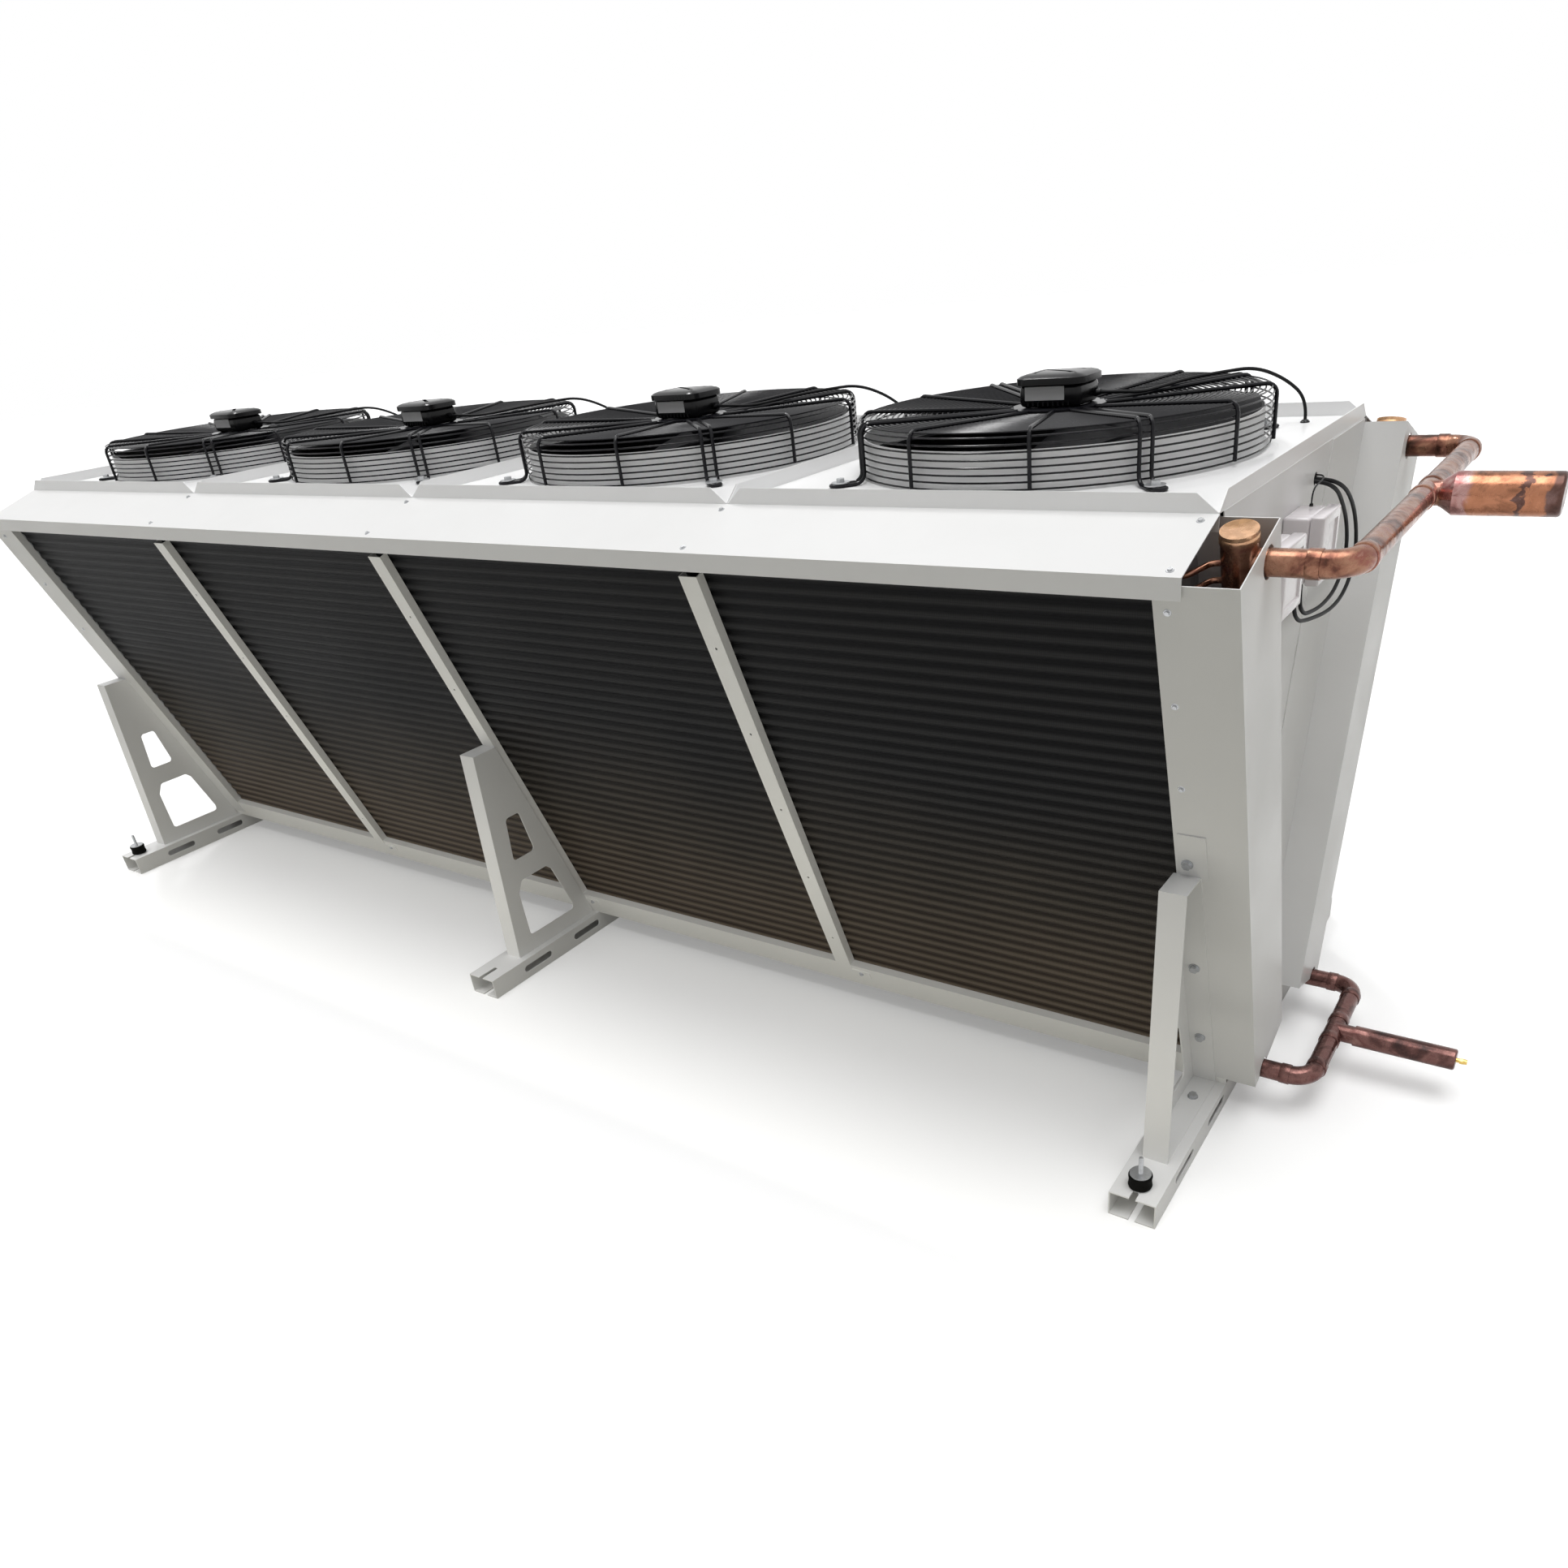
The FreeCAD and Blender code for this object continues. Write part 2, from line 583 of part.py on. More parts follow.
seat = along_row("seat_body", [
    (seat_y, seat_z),
    (f"{edge_y} + sheet_wall", seat_line(f"{edge_y} + sheet_wall", "0")),
    (f"{edge_y} + sheet_wall", f"{under} - sheet_wall"),
    (f"{edge_y} + seat_flange", f"{under} - sheet_wall"),
    (f"{edge_y} + seat_flange", under),
    (edge_y, under),
    (edge_y, seat_line(edge_y, "sheet_wall")),
    (f"{seat_y} - sheet_wall * {TILT_SIN}", f"{seat_z} + sheet_wall * {TILT_COS}"),
], "-coil_left", "coil_left + coil_right")
keep(grouped("seat_group", [seat, mirrored(seat, "seat_twin")]), "deck_seats")


# Cowls: sloping skirts from the deck's edge out over the coils' tops

cowl = along_row("cowl_body", [
    (edge_y, f"{under} - cowl_flange"),
    (edge_y, under),
    ("-cowl_half", "cowl_fold"),
    ("-cowl_half", "cowl_fold - cowl_lip"),
    ("-cowl_half + sheet_wall", "cowl_fold - cowl_lip"),
    ("-cowl_half + sheet_wall", "cowl_fold - 0.75 * sheet_wall"),
    (f"{edge_y} - sheet_wall", f"{under} - 1.4 * sheet_wall"),
    (f"{edge_y} - sheet_wall", f"{under} - cowl_flange"),
], "-cabinet_half", "2 * cabinet_half")
keep(cowl, "cowl_front")
keep(mirrored(cowl, "cowl_twin"), "cowl_rear")


# Fan panels: tray with upturned edges, notched at the corners, and a drawn fan ring

def fan_panel(number, x):
    panel = new_body(f"fan_panel_{number}_body", Placement__Base__x=x)
    half_x, half_y = "(fan_pitch - panel_gap) / 2", "deck_depth / 2"
    plate = sketch_on(panel, "XY_Plane", under)
    add_outline(plate, [(f"-{half_x}", f"-{half_y}"), (half_x, f"-{half_y}"),
                        (half_x, half_y), (f"-{half_x}", half_y)])
    add_circle(plate, "0", "0", "ring_radius")
    pad(panel, plate, "sheet_wall")
    ring = sketch_on(panel, "XY_Plane", under)
    add_circle(ring, "0", "0", "ring_radius")
    add_circle(ring, "0", "0", "ring_radius + sheet_wall")
    pad(panel, ring, "sheet_wall + ring_height")

    def ring_edge(radius, height):
        def test(edge):
            curve = edge.Curve
            return (curve.TypeId == "Part::GeomCircle" and abs(curve.Radius - radius) < 0.01
                    and abs(edge.CenterOfMass.z - height) < 0.01)
        return test

    top, low = size("deck_height"), size("deck_height") - size("sheet_wall")
    radius = size("ring_radius")
    round_edges(panel, "ring_round", ring_edge(radius + size("sheet_wall"), top))
    round_edges(panel, "ring_round + sheet_wall", ring_edge(radius, low))
    lip_high = "deck_height + deck_flange"
    for plane, half, span in (("XZ_Plane", half_y, half_x), ("YZ_Plane", half_x, half_y)):
        for offset in (f"{half} - sheet_wall", f"-{half}"):
            lip = sketch_on(panel, plane, offset)
            add_outline(lip, [(f"-{span}", under), (span, under), (f"{span} - flange_notch", lip_high),
                              (f"-{span} + flange_notch", lip_high)])
            pad(panel, lip, "sheet_wall")
    return keep(panel, f"fan_panel_{number}")


FAN_X = {number: f"({number} - 2.5) * fan_pitch" for number in FANS}
for number, x in FAN_X.items():
    fan_panel(number, x)


# Plenum walls: end panels, cell partitions and the trough that closes the V's foot

def cross_wall(name, corners, x):
    """Upright sheet across the row, from its front half's outline."""
    wall = new_body(name)
    outline = sketch_on(wall, "YZ_Plane", x)
    rear = [(f"-({y})", z) for y, z in reversed(corners)]
    add_outline(outline, corners + rear)
    pad(wall, outline, "sheet_wall")
    return wall


inside = "cover_depth + seat_gap"
floor_z = "trough_height + sheet_wall + seat_gap"
end_corners = [(plane_y(inside, floor_z), floor_z), (plane_y(inside, under), under)]


def end_panel(name, x, fold_low, fold_high):
    """End wall whose foot folds inward on to the trough's floor."""
    wall = cross_wall(name, end_corners, x)
    fold = sketch_on(wall, "XY_Plane", floor_z)
    width = plane_y(inside, floor_z)
    add_outline(fold, [(fold_low, width), (fold_high, width),
                       (fold_high, f"-{width}"), (fold_low, f"-{width}")])
    pad(wall, fold, "sheet_wall")
    return wall


right_panel = end_panel("end_panel_right_body", "cabinet_half - sheet_wall",
                        "coil_right - 10", "cabinet_half")
lead_hole = sketch_on(right_panel, "YZ_Plane", "cabinet_half")
add_circle(lead_hole, "cable_hole_y", "cable_hole_z", "2 * cable_radius + pipe_clearance")
pocket(right_panel, lead_hole, "2 * sheet_wall")
keep(right_panel, "end_panel_right")
left_panel = end_panel("end_panel_left_body", "-cabinet_half", "-cabinet_half", "-coil_left + 10")
keep(left_panel, "end_panel_left")



def rear_side(height):
    """Y of the rear cover's plenum side at a height."""
    return f"(-{plane_y(inside, height)})"


# The lap's slanting seam runs into the front cover at its foot, where the lap is cut along that cover
lap_low, lap_high = "(cover_low + cover_depth)", f"({under} - sheet_wall)"
meeting = f"max({lap_low} + 1; (seam_offset / 2 + {plane_y(inside, '0')}) / {TILT_TAN})"
lap = along_row("end_lap_body", [
    (rear_side(lap_low), lap_low),
    (rear_side(lap_high), lap_high),
    (f"{rear_side(lap_high)} - seam_offset", lap_high),
    (f"{rear_side(meeting)} - seam_offset", meeting),
    (f"max(-{rear_side(lap_low)}; {rear_side(lap_low)} - seam_offset)", lap_low),
], "cabinet_half", "sheet_wall")
keep(lap, "end_panel_lap")

coil_back = "coil_recess + coil_thickness + seat_gap"
lip_back = f"{coil_back} + sheet_wall"
lip_top = "trough_height + trough_lip"
over_lip = f"{lip_top} + seat_gap"
shoulder = "coil_high - tube_pitch"
edge_in = f"{edge_y} + sheet_wall + seat_gap"
part_corners = [
    (plane_y(f"{lip_back} + seat_gap", floor_z), floor_z),
    (plane_y(f"{lip_back} + seat_gap", over_lip), over_lip),
    (plane_y(coil_back, over_lip), over_lip),
    (bank_y(coil_back, shoulder), bank_z(coil_back, shoulder)),
    (edge_in, bank_z(coil_back, shoulder)),
    (edge_in, f"{under} - sheet_wall - seat_gap"),
]
walls = [cross_wall(f"partition_{i}", part_corners, f"{joint} * fan_pitch - sheet_wall / 2")
         for i, joint in enumerate(CELL_JOINTS, 1)]
keep(grouped("partition_group", walls), "cell_partitions")

trough_floor = "trough_height + sheet_wall"
trough_front = [(plane_y(coil_back, lip_top), lip_top),
                (plane_y(coil_back, "trough_height"), "trough_height")]
trough_inside = [(plane_y(lip_back, trough_floor), trough_floor), (plane_y(lip_back, lip_top), lip_top)]
trough = along_row(
    "trough_body",
    trough_front + [(f"-{y}", z) for y, z in reversed(trough_front)]
    + [(f"-{y}", z) for y, z in reversed(trough_inside)] + trough_inside,
    "-coil_left", "coil_left + coil_right")
keep(trough, "bottom_trough")


# Refrigerant pipes

def elbow_pipe(points, radius, bends):
    """Round solid along straight runs; bends is one radius, or a list with one for each corner."""
    if not isinstance(bends, list):
        bends = [bends] * (len(points) - 2)
    path = round_path(points, bends)
    start = points[0]
    ring = Part.Wire(Part.makeCircle(radius, start, points[1] - start))
    return path.makePipeShell([ring], True, False)


def round_path(points, bends):
    """Wire through the points, each inner corner an arc of its bend radius."""
    edges, last = [], points[0]
    for before, corner, after, bend in zip(points, points[1:], points[2:], bends):
        back, ahead = (before - corner).normalize(), (after - corner).normalize()
        half_turn = (math.pi - back.getAngle(ahead)) / 2
        trim = bend * math.tan(half_turn)
        first, second = corner + back * trim, corner + ahead * trim
        inward = (back + ahead).normalize()
        middle = corner + inward * (bend / math.cos(half_turn) - bend)
        if (first - last).Length > 0.01:
            edges.append(Part.LineSegment(last, first).toShape())
        edges.append(Part.Arc(first, middle, second).toShape())
        last = second
    edges.append(Part.LineSegment(last, points[-1]).toShape())
    return Part.Wire(edges)


def bank_point(x, depth, up):
    return bank_place().multVec(Vector(x, depth, up))


def up_slope(depth, height):
    """Up-slope measure of a place at a depth, at a height above the floor."""
    tilt = math.radians(size("coil_tilt"))
    return (height - depth * math.sin(tilt)) / math.cos(tilt)


UP_BANK = bank_place().Rotation.multVec(Vector(0, 0, 1))


def header_shape(x, depth, radius, low, high):
    """Capped upright pipe in the front bank's end compartment."""
    return Part.makeCylinder(radius, high - low, bank_point(x, depth, low), UP_BANK)


def straight_feeder(x, depth, radius, up):
    """Tube from the end sheet straight into a header in front of the fins' back."""
    start = size("coil_right") + size("sheet_wall")
    reach = x - 0.9 * radius - start
    return Part.makeCylinder(size("feeder_radius"), reach, bank_point(start, depth, up), Vector(1, 0, 0))


def stepped_feeder(x, depth, radius, up):
    """Tube from the end sheet that steps inward to a header behind the fins."""
    start, end = size("coil_right") + size("sheet_wall"), x - 0.9 * radius
    tube_depth = size("coil_recess") + size("coil_thickness") - 3 * size("feeder_radius")
    quarter = (end - start) * 0.28
    line = [(start, tube_depth), (start + quarter, tube_depth), (end - quarter, depth), (end, depth)]
    points = [bank_point(along, inward, up) for along, inward in line]
    return elbow_pipe(points, size("feeder_radius"), size("feeder_bend"))


def domed_cap(x, depth, radius, high):
    """Rounded cap over a header's top end."""
    height, over = size("header_cap"), size("pipe_wall")
    foot = bank_point(x, depth, high - height)
    cap = Part.makeCylinder(radius + over, height, foot, UP_BANK)
    rim = [edge for edge in cap.Edges if edge.Closed and (edge.CenterOfMass - foot).Length > height / 2]
    return cap.makeFillet(height * 0.7, rim)


gas_low, gas_high = size("header_low"), size("header_high")
gas_place = (size("header_x"), size("header_depth"), size("header_radius"))
gas_rows = [up for up in tube_rows() if gas_low + size("tube_pitch") < up < gas_high - size("header_cap")]
gas_header = header_shape(*gas_place, gas_low, gas_high)
gas_header = gas_header.fuse([stepped_feeder(*gas_place, up) for up in gas_rows])
gas_header = gas_header.fuse(domed_cap(*gas_place, gas_high))
liquid_r = size("liquid_header_radius")
liquid_low = up_slope(size("liquid_depth"), size("liquid_height")) - 1.2 * liquid_r
liquid_place = (size("liquid_header_x"), size("liquid_depth"), liquid_r)
liquid_rows = [up for up in tube_rows()[::3] if liquid_low + 3 * liquid_r < up < size("liquid_high")]
liquid_header = header_shape(*liquid_place, liquid_low, size("liquid_high"))
liquid_header = liquid_header.fuse([straight_feeder(*liquid_place, up) for up in liquid_rows])
for label, shape in (("gas_headers", gas_header), ("liquid_headers", liquid_header)):
    front_header = shaped(label + "_front", shape)
    rear_header = mirrored(front_header, label + "_rear")
    keep(grouped(label + "_group", [front_header, rear_header]), label)


def manifold_line(height, depth, reach, start):
    """Run from one header out past the covers, across and back to the other header."""
    y = bank_point(0, depth, up_slope(depth, height)).y
    return [Vector(start, y, height), Vector(reach, y, height),
            Vector(reach, -y, height), Vector(start, -y, height)]


def gas_manifold_shape(wall):
    """Cross pipe with a tee, a reducer and a wide capped stub; wall is taken off all round."""
    radius, stub = size("gas_radius") - wall, size("stub_radius") - wall
    reach, height, y = size("gas_line_x"), size("gas_height"), size("stub_offset")
    line = manifold_line(height, size("header_depth"), reach, size("header_x"))
    pipe = elbow_pipe(line, radius, size("elbow_radius"))
    centre, start, end = Vector(reach, y, height), size("stub_start"), size("stub_end") - 2 * wall
    along = Vector(1, 0, 0)
    cone_from = start - (size("stub_radius") - size("gas_radius")) * 1.5
    branch = Part.makeCylinder(radius, cone_from - reach, centre, along)
    cone = Part.makeCone(radius, stub, start - cone_from, Vector(cone_from, y, height), along)
    barrel = Part.makeCylinder(stub, end - start, Vector(start, y, height), along)
    if not wall:
        rim = [edge for edge in barrel.Edges if edge.CenterOfMass.x > end - 1 and edge.Closed]
        barrel = barrel.makeFillet(size("gas_radius") / 3, rim)
    return pipe.fuse([branch, cone, barrel]).removeSplitter()


def liquid_manifold_shape(wall):
    radius, branch_radius = size("liquid_radius") - wall, size("branch_radius") - wall
    reach, height = size("liquid_line_x"), size("liquid_height")
    line = manifold_line(height, size("liquid_depth"), reach, size("liquid_header_x"))
    pipe = elbow_pipe(line, radius, size("elbow_radius") - size("pipe_clearance"))
    collar = reach + size("branch_radius") + size("liquid_radius")
    end = size("liquid_end") - 2 * wall
    neck = Part.makeCylinder(radius, collar - reach, Vector(reach, 0, height), Vector(1, 0, 0))
    collar += wall
    branch = Part.makeCylinder(branch_radius, end - collar, Vector(collar, 0, height), Vector(1, 0, 0))
    if not wall:
        rim = [edge for edge in branch.Edges if edge.CenterOfMass.x > end - 1 and edge.Closed]
        branch = branch.makeFillet(size("liquid_radius") / 4, rim)
    return pipe.fuse([neck, branch]).removeSplitter()


def saddled(make, header):
    """Hollow pipe whose ends are notched to sit on both headers."""
    twin = header.mirror(Vector(), Vector(0, 1, 0))
    pipe = make(0).cut(make(size("pipe_wall"))).cut([header, twin])
    return max(pipe.Solids, key=lambda solid: solid.Volume)


gas_pipe = saddled(gas_manifold_shape, header_shape(*gas_place, gas_low, gas_high))
liquid_pipe = saddled(liquid_manifold_shape, header_shape(*liquid_place, liquid_low, size("liquid_high")))
keep(shaped("gas_pipe", gas_pipe), "gas_manifold")
keep(shaped("liquid_pipe", liquid_pipe), "liquid_manifold")

valve = doc.addObject("Part::Cylinder", "valve_stem")
valve.Placement = Placement(Vector(), Rotation(Vector(0, 1, 0), 90))
bind(valve, Radius="valve_radius", Height="valve_length", Placement__Base__x="liquid_end",
     Placement__Base__z="liquid_height")
cap = doc.addObject("Part::Prism", "valve_cap")
cap.Placement = Placement(Vector(), Rotation(Vector(0, 1, 0), 90))
bind(cap, Circumradius="valve_radius * 1.5", Height="valve_length / 3",
     Placement__Base__x="liquid_end + valve_length / 3", Placement__Base__z="liquid_height")
valve_body = doc.addObject("Part::Fuse", "valve_parts")
valve_body.Base, valve_body.Tool = valve, cap
keep(valve_body, "service_valve")


# Fans: wire guard that carries the motor, external rotor with blades, terminal box

def deck_z(height):
    return size("deck_height") + height


def guard_ring(radius, height, wire):
    """Ring of square wire, centred on its radius and height."""
    outer = Part.makeCylinder(radius + wire, 2 * wire, Vector(0, 0, deck_z(height) - wire))
    return outer.cut(Part.makeCylinder(radius - wire, 2 * wire, Vector(0, 0, deck_z(height) - wire)))


def crown_line(radius):
    """Height of the guard's shallow crown at a radius, from its rim to its hub plate."""
    share = (size("guard_radius") - radius) / (size("guard_radius") - size("crown_outer"))
    crown = size("crown_height") + size("crown_wall") / 2
    return size("guard_height") + share * (crown - size("guard_height"))


def guard_rod(angle):
    """Rod bent from the hub plate over the rim and down the side of the basket."""
    rim, hub = size("guard_radius"), size("crown_outer") - size("guard_rod")
    rod = size("guard_rod")
    turn = Rotation(Vector(0, 0, 1), angle)
    points = [Vector(hub, 0, deck_z(crown_line(hub))), Vector(rim, 0, deck_z(size("guard_height"))),
              Vector(rim, 0, deck_z(size("guard_foot")))]
    points = [turn.multVec(point) for point in points]
    return elbow_pipe(points, rod, 5 * rod)


def guard_foot(sign_x, sign_y):
    """Rod from the hub down to a loop on the deck, where a bolt holds it, and back to the hub."""
    rod, spread = size("guard_rod"), size("foot_spread")
    seat = Vector(sign_x * size("foot_x"), sign_y * size("foot_y"), 0)
    out = Vector(seat).normalize()
    side = Vector(-out.y, out.x, 0) * spread
    hub, rim = size("crown_outer") - rod, size("guard_radius")
    floor, tip = rod + size("seat_gap") / 2, seat.Length + size("foot_tip")
    run = [(hub, crown_line(hub)), (rim, size("guard_height")), (rim, floor), (tip, floor)]
    there = [out * radius + side + Vector(0, 0, deck_z(height)) for radius, height in run]
    back = [out * radius - side + Vector(0, 0, deck_z(height)) for radius, height in reversed(run)]
    wide, tight = 5 * rod, 0.8 * spread
    return elbow_pipe(there + back, rod, [wide, wide, tight, tight, wide, wide])


def guard_shape():
    wire, height = size("guard_wire") * 0.7, size("guard_height")
    low, radius = size("guard_foot"), size("guard_radius")
    rings = [guard_ring(radius, low + (height - low) * i / 6, wire) for i in range(6)]
    for i in range(7):
        radius = size("guard_radius") - 5 * size("guard_rod") - i * 46
        rings.append(guard_ring(radius, crown_line(radius), wire))
    seat, wall = Vector(0, 0, deck_z(size("crown_height"))), size("crown_wall")
    plate = Part.makeCylinder(size("crown_outer"), wall, seat)
    plate = plate.cut(Part.makeCylinder(size("crown_inner"), wall, seat))
    lean = size("rod_angle")
    rods = [guard_rod(quarter + side) for quarter in (0, 90, 180, 270) for side in (-lean, lean)]
    feet = [guard_foot(sx, sy) for sx in (-1, 1) for sy in (-1, 1)]
    return plate.fuse(rings + rods + feet)


def blade_section(radius, chord, pitch):
    """Cambered blade section standing across the radius."""
    wall, lean = size("blade_wall"), math.radians(pitch)
    along = Vector(0, math.cos(lean), math.sin(lean))
    normal = Vector(0, -math.sin(lean), math.cos(lean))
    centre = Vector(radius, 0, deck_z(size("blade_centre")))
    camber = chord * 0.07
    low, high = centre - along * chord / 2, centre + along * chord / 2
    upper = Part.Arc(low + normal * wall / 2, centre + normal * (camber + wall / 2), high + normal * wall / 2)
    lower = Part.Arc(high - normal * wall / 2, centre + normal * (camber - wall / 2), low - normal * wall / 2)
    nose = Part.LineSegment(low - normal * wall / 2, low + normal * wall / 2)
    tail = Part.LineSegment(high + normal * wall / 2, high - normal * wall / 2)
    return Part.Wire([upper.toShape(), tail.toShape(), lower.toShape(), nose.toShape()])


def impeller_shape():
    """Rotor can with its shaft and swept blades, one casting on the motor's rotor."""
    radius, wall = size("rotor_radius"), size("rotor_wall")
    low, top = deck_z(size("rotor_low")), deck_z(size("rotor_top"))
    can = Part.makeCylinder(radius, top - low, Vector(0, 0, low))
    can = can.cut(Part.makeCylinder(radius - wall, top - low, Vector(0, 0, low + wall)))
    shaft = Part.makeCylinder(size("shaft_radius"), deck_z(size("crown_height")) - low - 1, Vector(0, 0, low))
    tip = size("ring_radius") - size("impeller_gap")
    stations = ((radius - wall / 2, size("root_chord"), size("root_pitch"), 0),
                ((radius + tip) / 2, (size("root_chord") + size("tip_chord")) / 2,
                 (size("root_pitch") + size("tip_pitch")) / 2 - 2, 5),
                (tip + 20, size("tip_chord"), size("tip_pitch"), 14))
    sections = []
    for place, chord, pitch, sweep in stations:
        section = blade_section(place, chord, pitch)
        section.rotate(Vector(), Vector(0, 0, 1), sweep)
        sections.append(section)
    blade = Part.makeLoft(sections, True, False)
    blade = blade.common(Part.makeCylinder(tip, 400, Vector(0, 0, low - 100)))
    blade = blade.cut(Part.makeCylinder(radius - wall / 2, 400, Vector(0, 0, low - 100)))
    blades = []
    count = int(size("blade_count"))
    for i in range(count):
        twin = blade.copy()
        twin.rotate(Vector(), Vector(0, 0, 1), 360.0 * i / count)
        blades.append(twin)
    return can.fuse([shaft] + blades)


def stator_shape():
    """Fixed half of the motor: core inside the rotor can, bored for the shaft, with a flange and a boss."""
    low = deck_z(size("rotor_low") + size("rotor_wall") + 2)
    top = deck_z(size("crown_height"))
    flange, rods = deck_z(size("rotor_top") + 2), deck_z(size("crown_height") - size("guard_rod"))
    core = Part.makeCylinder(size("stator_radius"), flange - low, Vector(0, 0, low))
    plate = Part.makeCylinder(size("rotor_radius"), rods - flange, Vector(0, 0, flange))
    boss = Part.makeCylinder(size("crown_outer") - 3 * size("guard_rod"), top - rods, Vector(0, 0, rods))
    bore = Part.makeCylinder(size("shaft_radius") + size("shaft_gap"), top - low, Vector(0, 0, low))
    return core.fuse([plate, boss]).cut(bore)


guard, impeller, stator = guard_shape(), impeller_shape(), stator_shape()
for number in FANS:
    spot = Placement(Vector((number - 2.5) * size("fan_pitch"), 0, 0), Rotation())
    keep(shaped(f"guard_{number}_wires", guard, spot), f"fan_guard_{number}")
    keep(shaped(f"stator_{number}_core", stator, spot), f"motor_stator_{number}")
    keep(shaped(f"impeller_{number}_blades", impeller, spot), f"impeller_{number}")


def terminal_piece(name, x, low, height, grow, taper):
    piece = new_body(name, Placement__Base__x=x)
    base = sketch_on(piece, "XY_Plane", low)
    half_x, half_y = f"(terminal_length / 2 + {grow})", f"(terminal_width / 2 + {grow})"
    cut = "terminal_width / 5"
    add_outline(base, [
        (f"-{half_x} + {cut}", f"-{half_y}"), (f"{half_x} - {cut}", f"-{half_y}"),
        (half_x, f"-{half_y} + {cut}"), (half_x, f"{half_y} - {cut}"),
        (f"{half_x} - {cut}", half_y), (f"-{half_x} + {cut}", half_y),
        (f"-{half_x}", f"{half_y} - {cut}"), (f"-{half_x}", f"-{half_y} + {cut}")])
    block = pad(piece, base, height)
    block.TaperAngle = taper
    return piece


box_low = "deck_height + crown_height + crown_wall"
lid_low = f"{box_low} + terminal_height"
boxes, lids = [], []
for number, x in FAN_X.items():
    box = terminal_piece(f"terminal_box_{number}", x, box_low, "terminal_height", "-terminal_flare", 8)
    boxes.append(box)
    lid = terminal_piece(f"terminal_lid_{number}", x, lid_low, "terminal_lid", "terminal_flare", -20)
    doc.recompute()
    lid_top = lid.Shape.BoundBox.ZMax
    round_edges(lid, "terminal_round", lambda edge: edge.BoundBox.ZMin > lid_top - 0.1)
    lids.append(lid)
keep(grouped("terminal_box_group", boxes), "terminal_boxes")
keep(grouped("terminal_lid_group", lids), "terminal_lids")


# Electrical boxes on the right end panel

def isolator(name, edge, start, depth, wall):
    """Square moulded box; a wall of zero leaves it solid."""
    piece = new_body(name)
    face = sketch_on(piece, "YZ_Plane", f"cabinet_half + {start}")
    add_outline(face, [(f"{edge} - box_width", "box_low"), (edge, "box_low"),
                       (edge, "box_low + box_height"), (f"{edge} - box_width", "box_low + box_height")])
    pad(piece, face, depth)
    round_edges(piece, "box_round", lambda edge: edge.BoundBox.YLength + edge.BoundBox.ZLength < 0.1)
    if wall:
        hollow = sketch_on(piece, "YZ_Plane", f"cabinet_half + {start} + {depth}")
        add_outline(hollow, [(f"{edge} - box_width + box_wall", "box_low + box_wall"),
                             (f"{edge} - box_wall", "box_low + box_wall"),
                             (f"{edge} - box_wall", "box_low + box_height - box_wall"),
                             (f"{edge} - box_width + box_wall", "box_low + box_height - box_wall")])
        pocket(piece, hollow, f"{depth} - box_wall")
    return piece


edges, lid_depth = {"front": "box_front_edge", "rear": "box_rear_edge"}, "(box_depth - box_base)"
bases = [isolator(f"isolator_base_{k}", e, "0", "box_base", True) for k, e in edges.items()]
covers = [isolator(f"isolator_lid_{k}", e, "box_base", lid_depth, False) for k, e in edges.items()]
keep(grouped("isolator_base_group", bases), "isolator_boxes")
keep(grouped("isolator_lid_group", covers), "isolator_lids")


# Cables: two supply leads and a thin one at the end panel, a conduit at each fan

def cord_wire(points):
    """Straight runs joined by tangent arcs, each as large as its two runs allow."""
    edges, last, radii = [], points[0], []
    for before, corner, after in zip(points, points[1:], points[2:]):
        back, ahead = (before - corner), (after - corner)
        run = min(back.Length, ahead.Length)
        back, ahead = back.normalize(), ahead.normalize()
        half_turn = (math.pi - back.getAngle(ahead)) / 2
        radius = 0.45 * run / math.tan(half_turn)
        radii.append(round(radius, 1))
        trim = 0.45 * run
        first, second = corner + back * trim, corner + ahead * trim
        inward = (back + ahead).normalize()
        middle = corner + inward * (radius / math.cos(half_turn) - radius)
        edges.append(Part.LineSegment(last, first).toShape())
        edges.append(Part.Arc(first, middle, second).toShape())
        last = second
    edges.append(Part.LineSegment(last, points[-1]).toShape())
    return Part.Wire(edges), radii


def cord_shape(name, points, radius):
    path, radii = cord_wire(points)
    ring = Part.Wire(Part.makeCircle(radius, points[0], points[1] - points[0]))
    tube = path.makePipeShell([ring], True, False)
    share = tube.Volume / (math.pi * radius ** 2 * path.Length)
    print(f"{name}: {path.Length:.0f} mm long, radii {radii}, volume share {share:.3f}")
    return tube


# Waypoints of the leads from the middle of the panel's hole: outward, to the rear, upward
SUPPLY_ROUTES = {
    "supply_lead_a": ("gland_middle", [
        (-50, -8, -1), (8, -7, -2), (36, 24, -20), (38, 90, -66), (37, 146, -112), (36, 180, -168),
        (34, 170, -218), (33, 122, -246), (32, 62, -253), (31, 4, -252), (29, -51, -246),
        (27, -104, -237)]),
    "supply_lead_b": ("gland_front", [
        (-50, 5.5, 1), (14, 7, 0), (44, 43, -18), (50, 112, -62), (50, 172, -116), (49, 209, -178),
        (47, 199, -232), (45, 150, -262), (43, 84, -270), (39, 22, -268), (34, -36, -261),
        (30, -92, -252), (27, -144, -240)]),
}
THIN_ROUTE = [(-40, 0, 8), (8, -2, 9), (24, -32, 10), (27, -68, 9), (26, -104, 7), (25, -120, -4)]

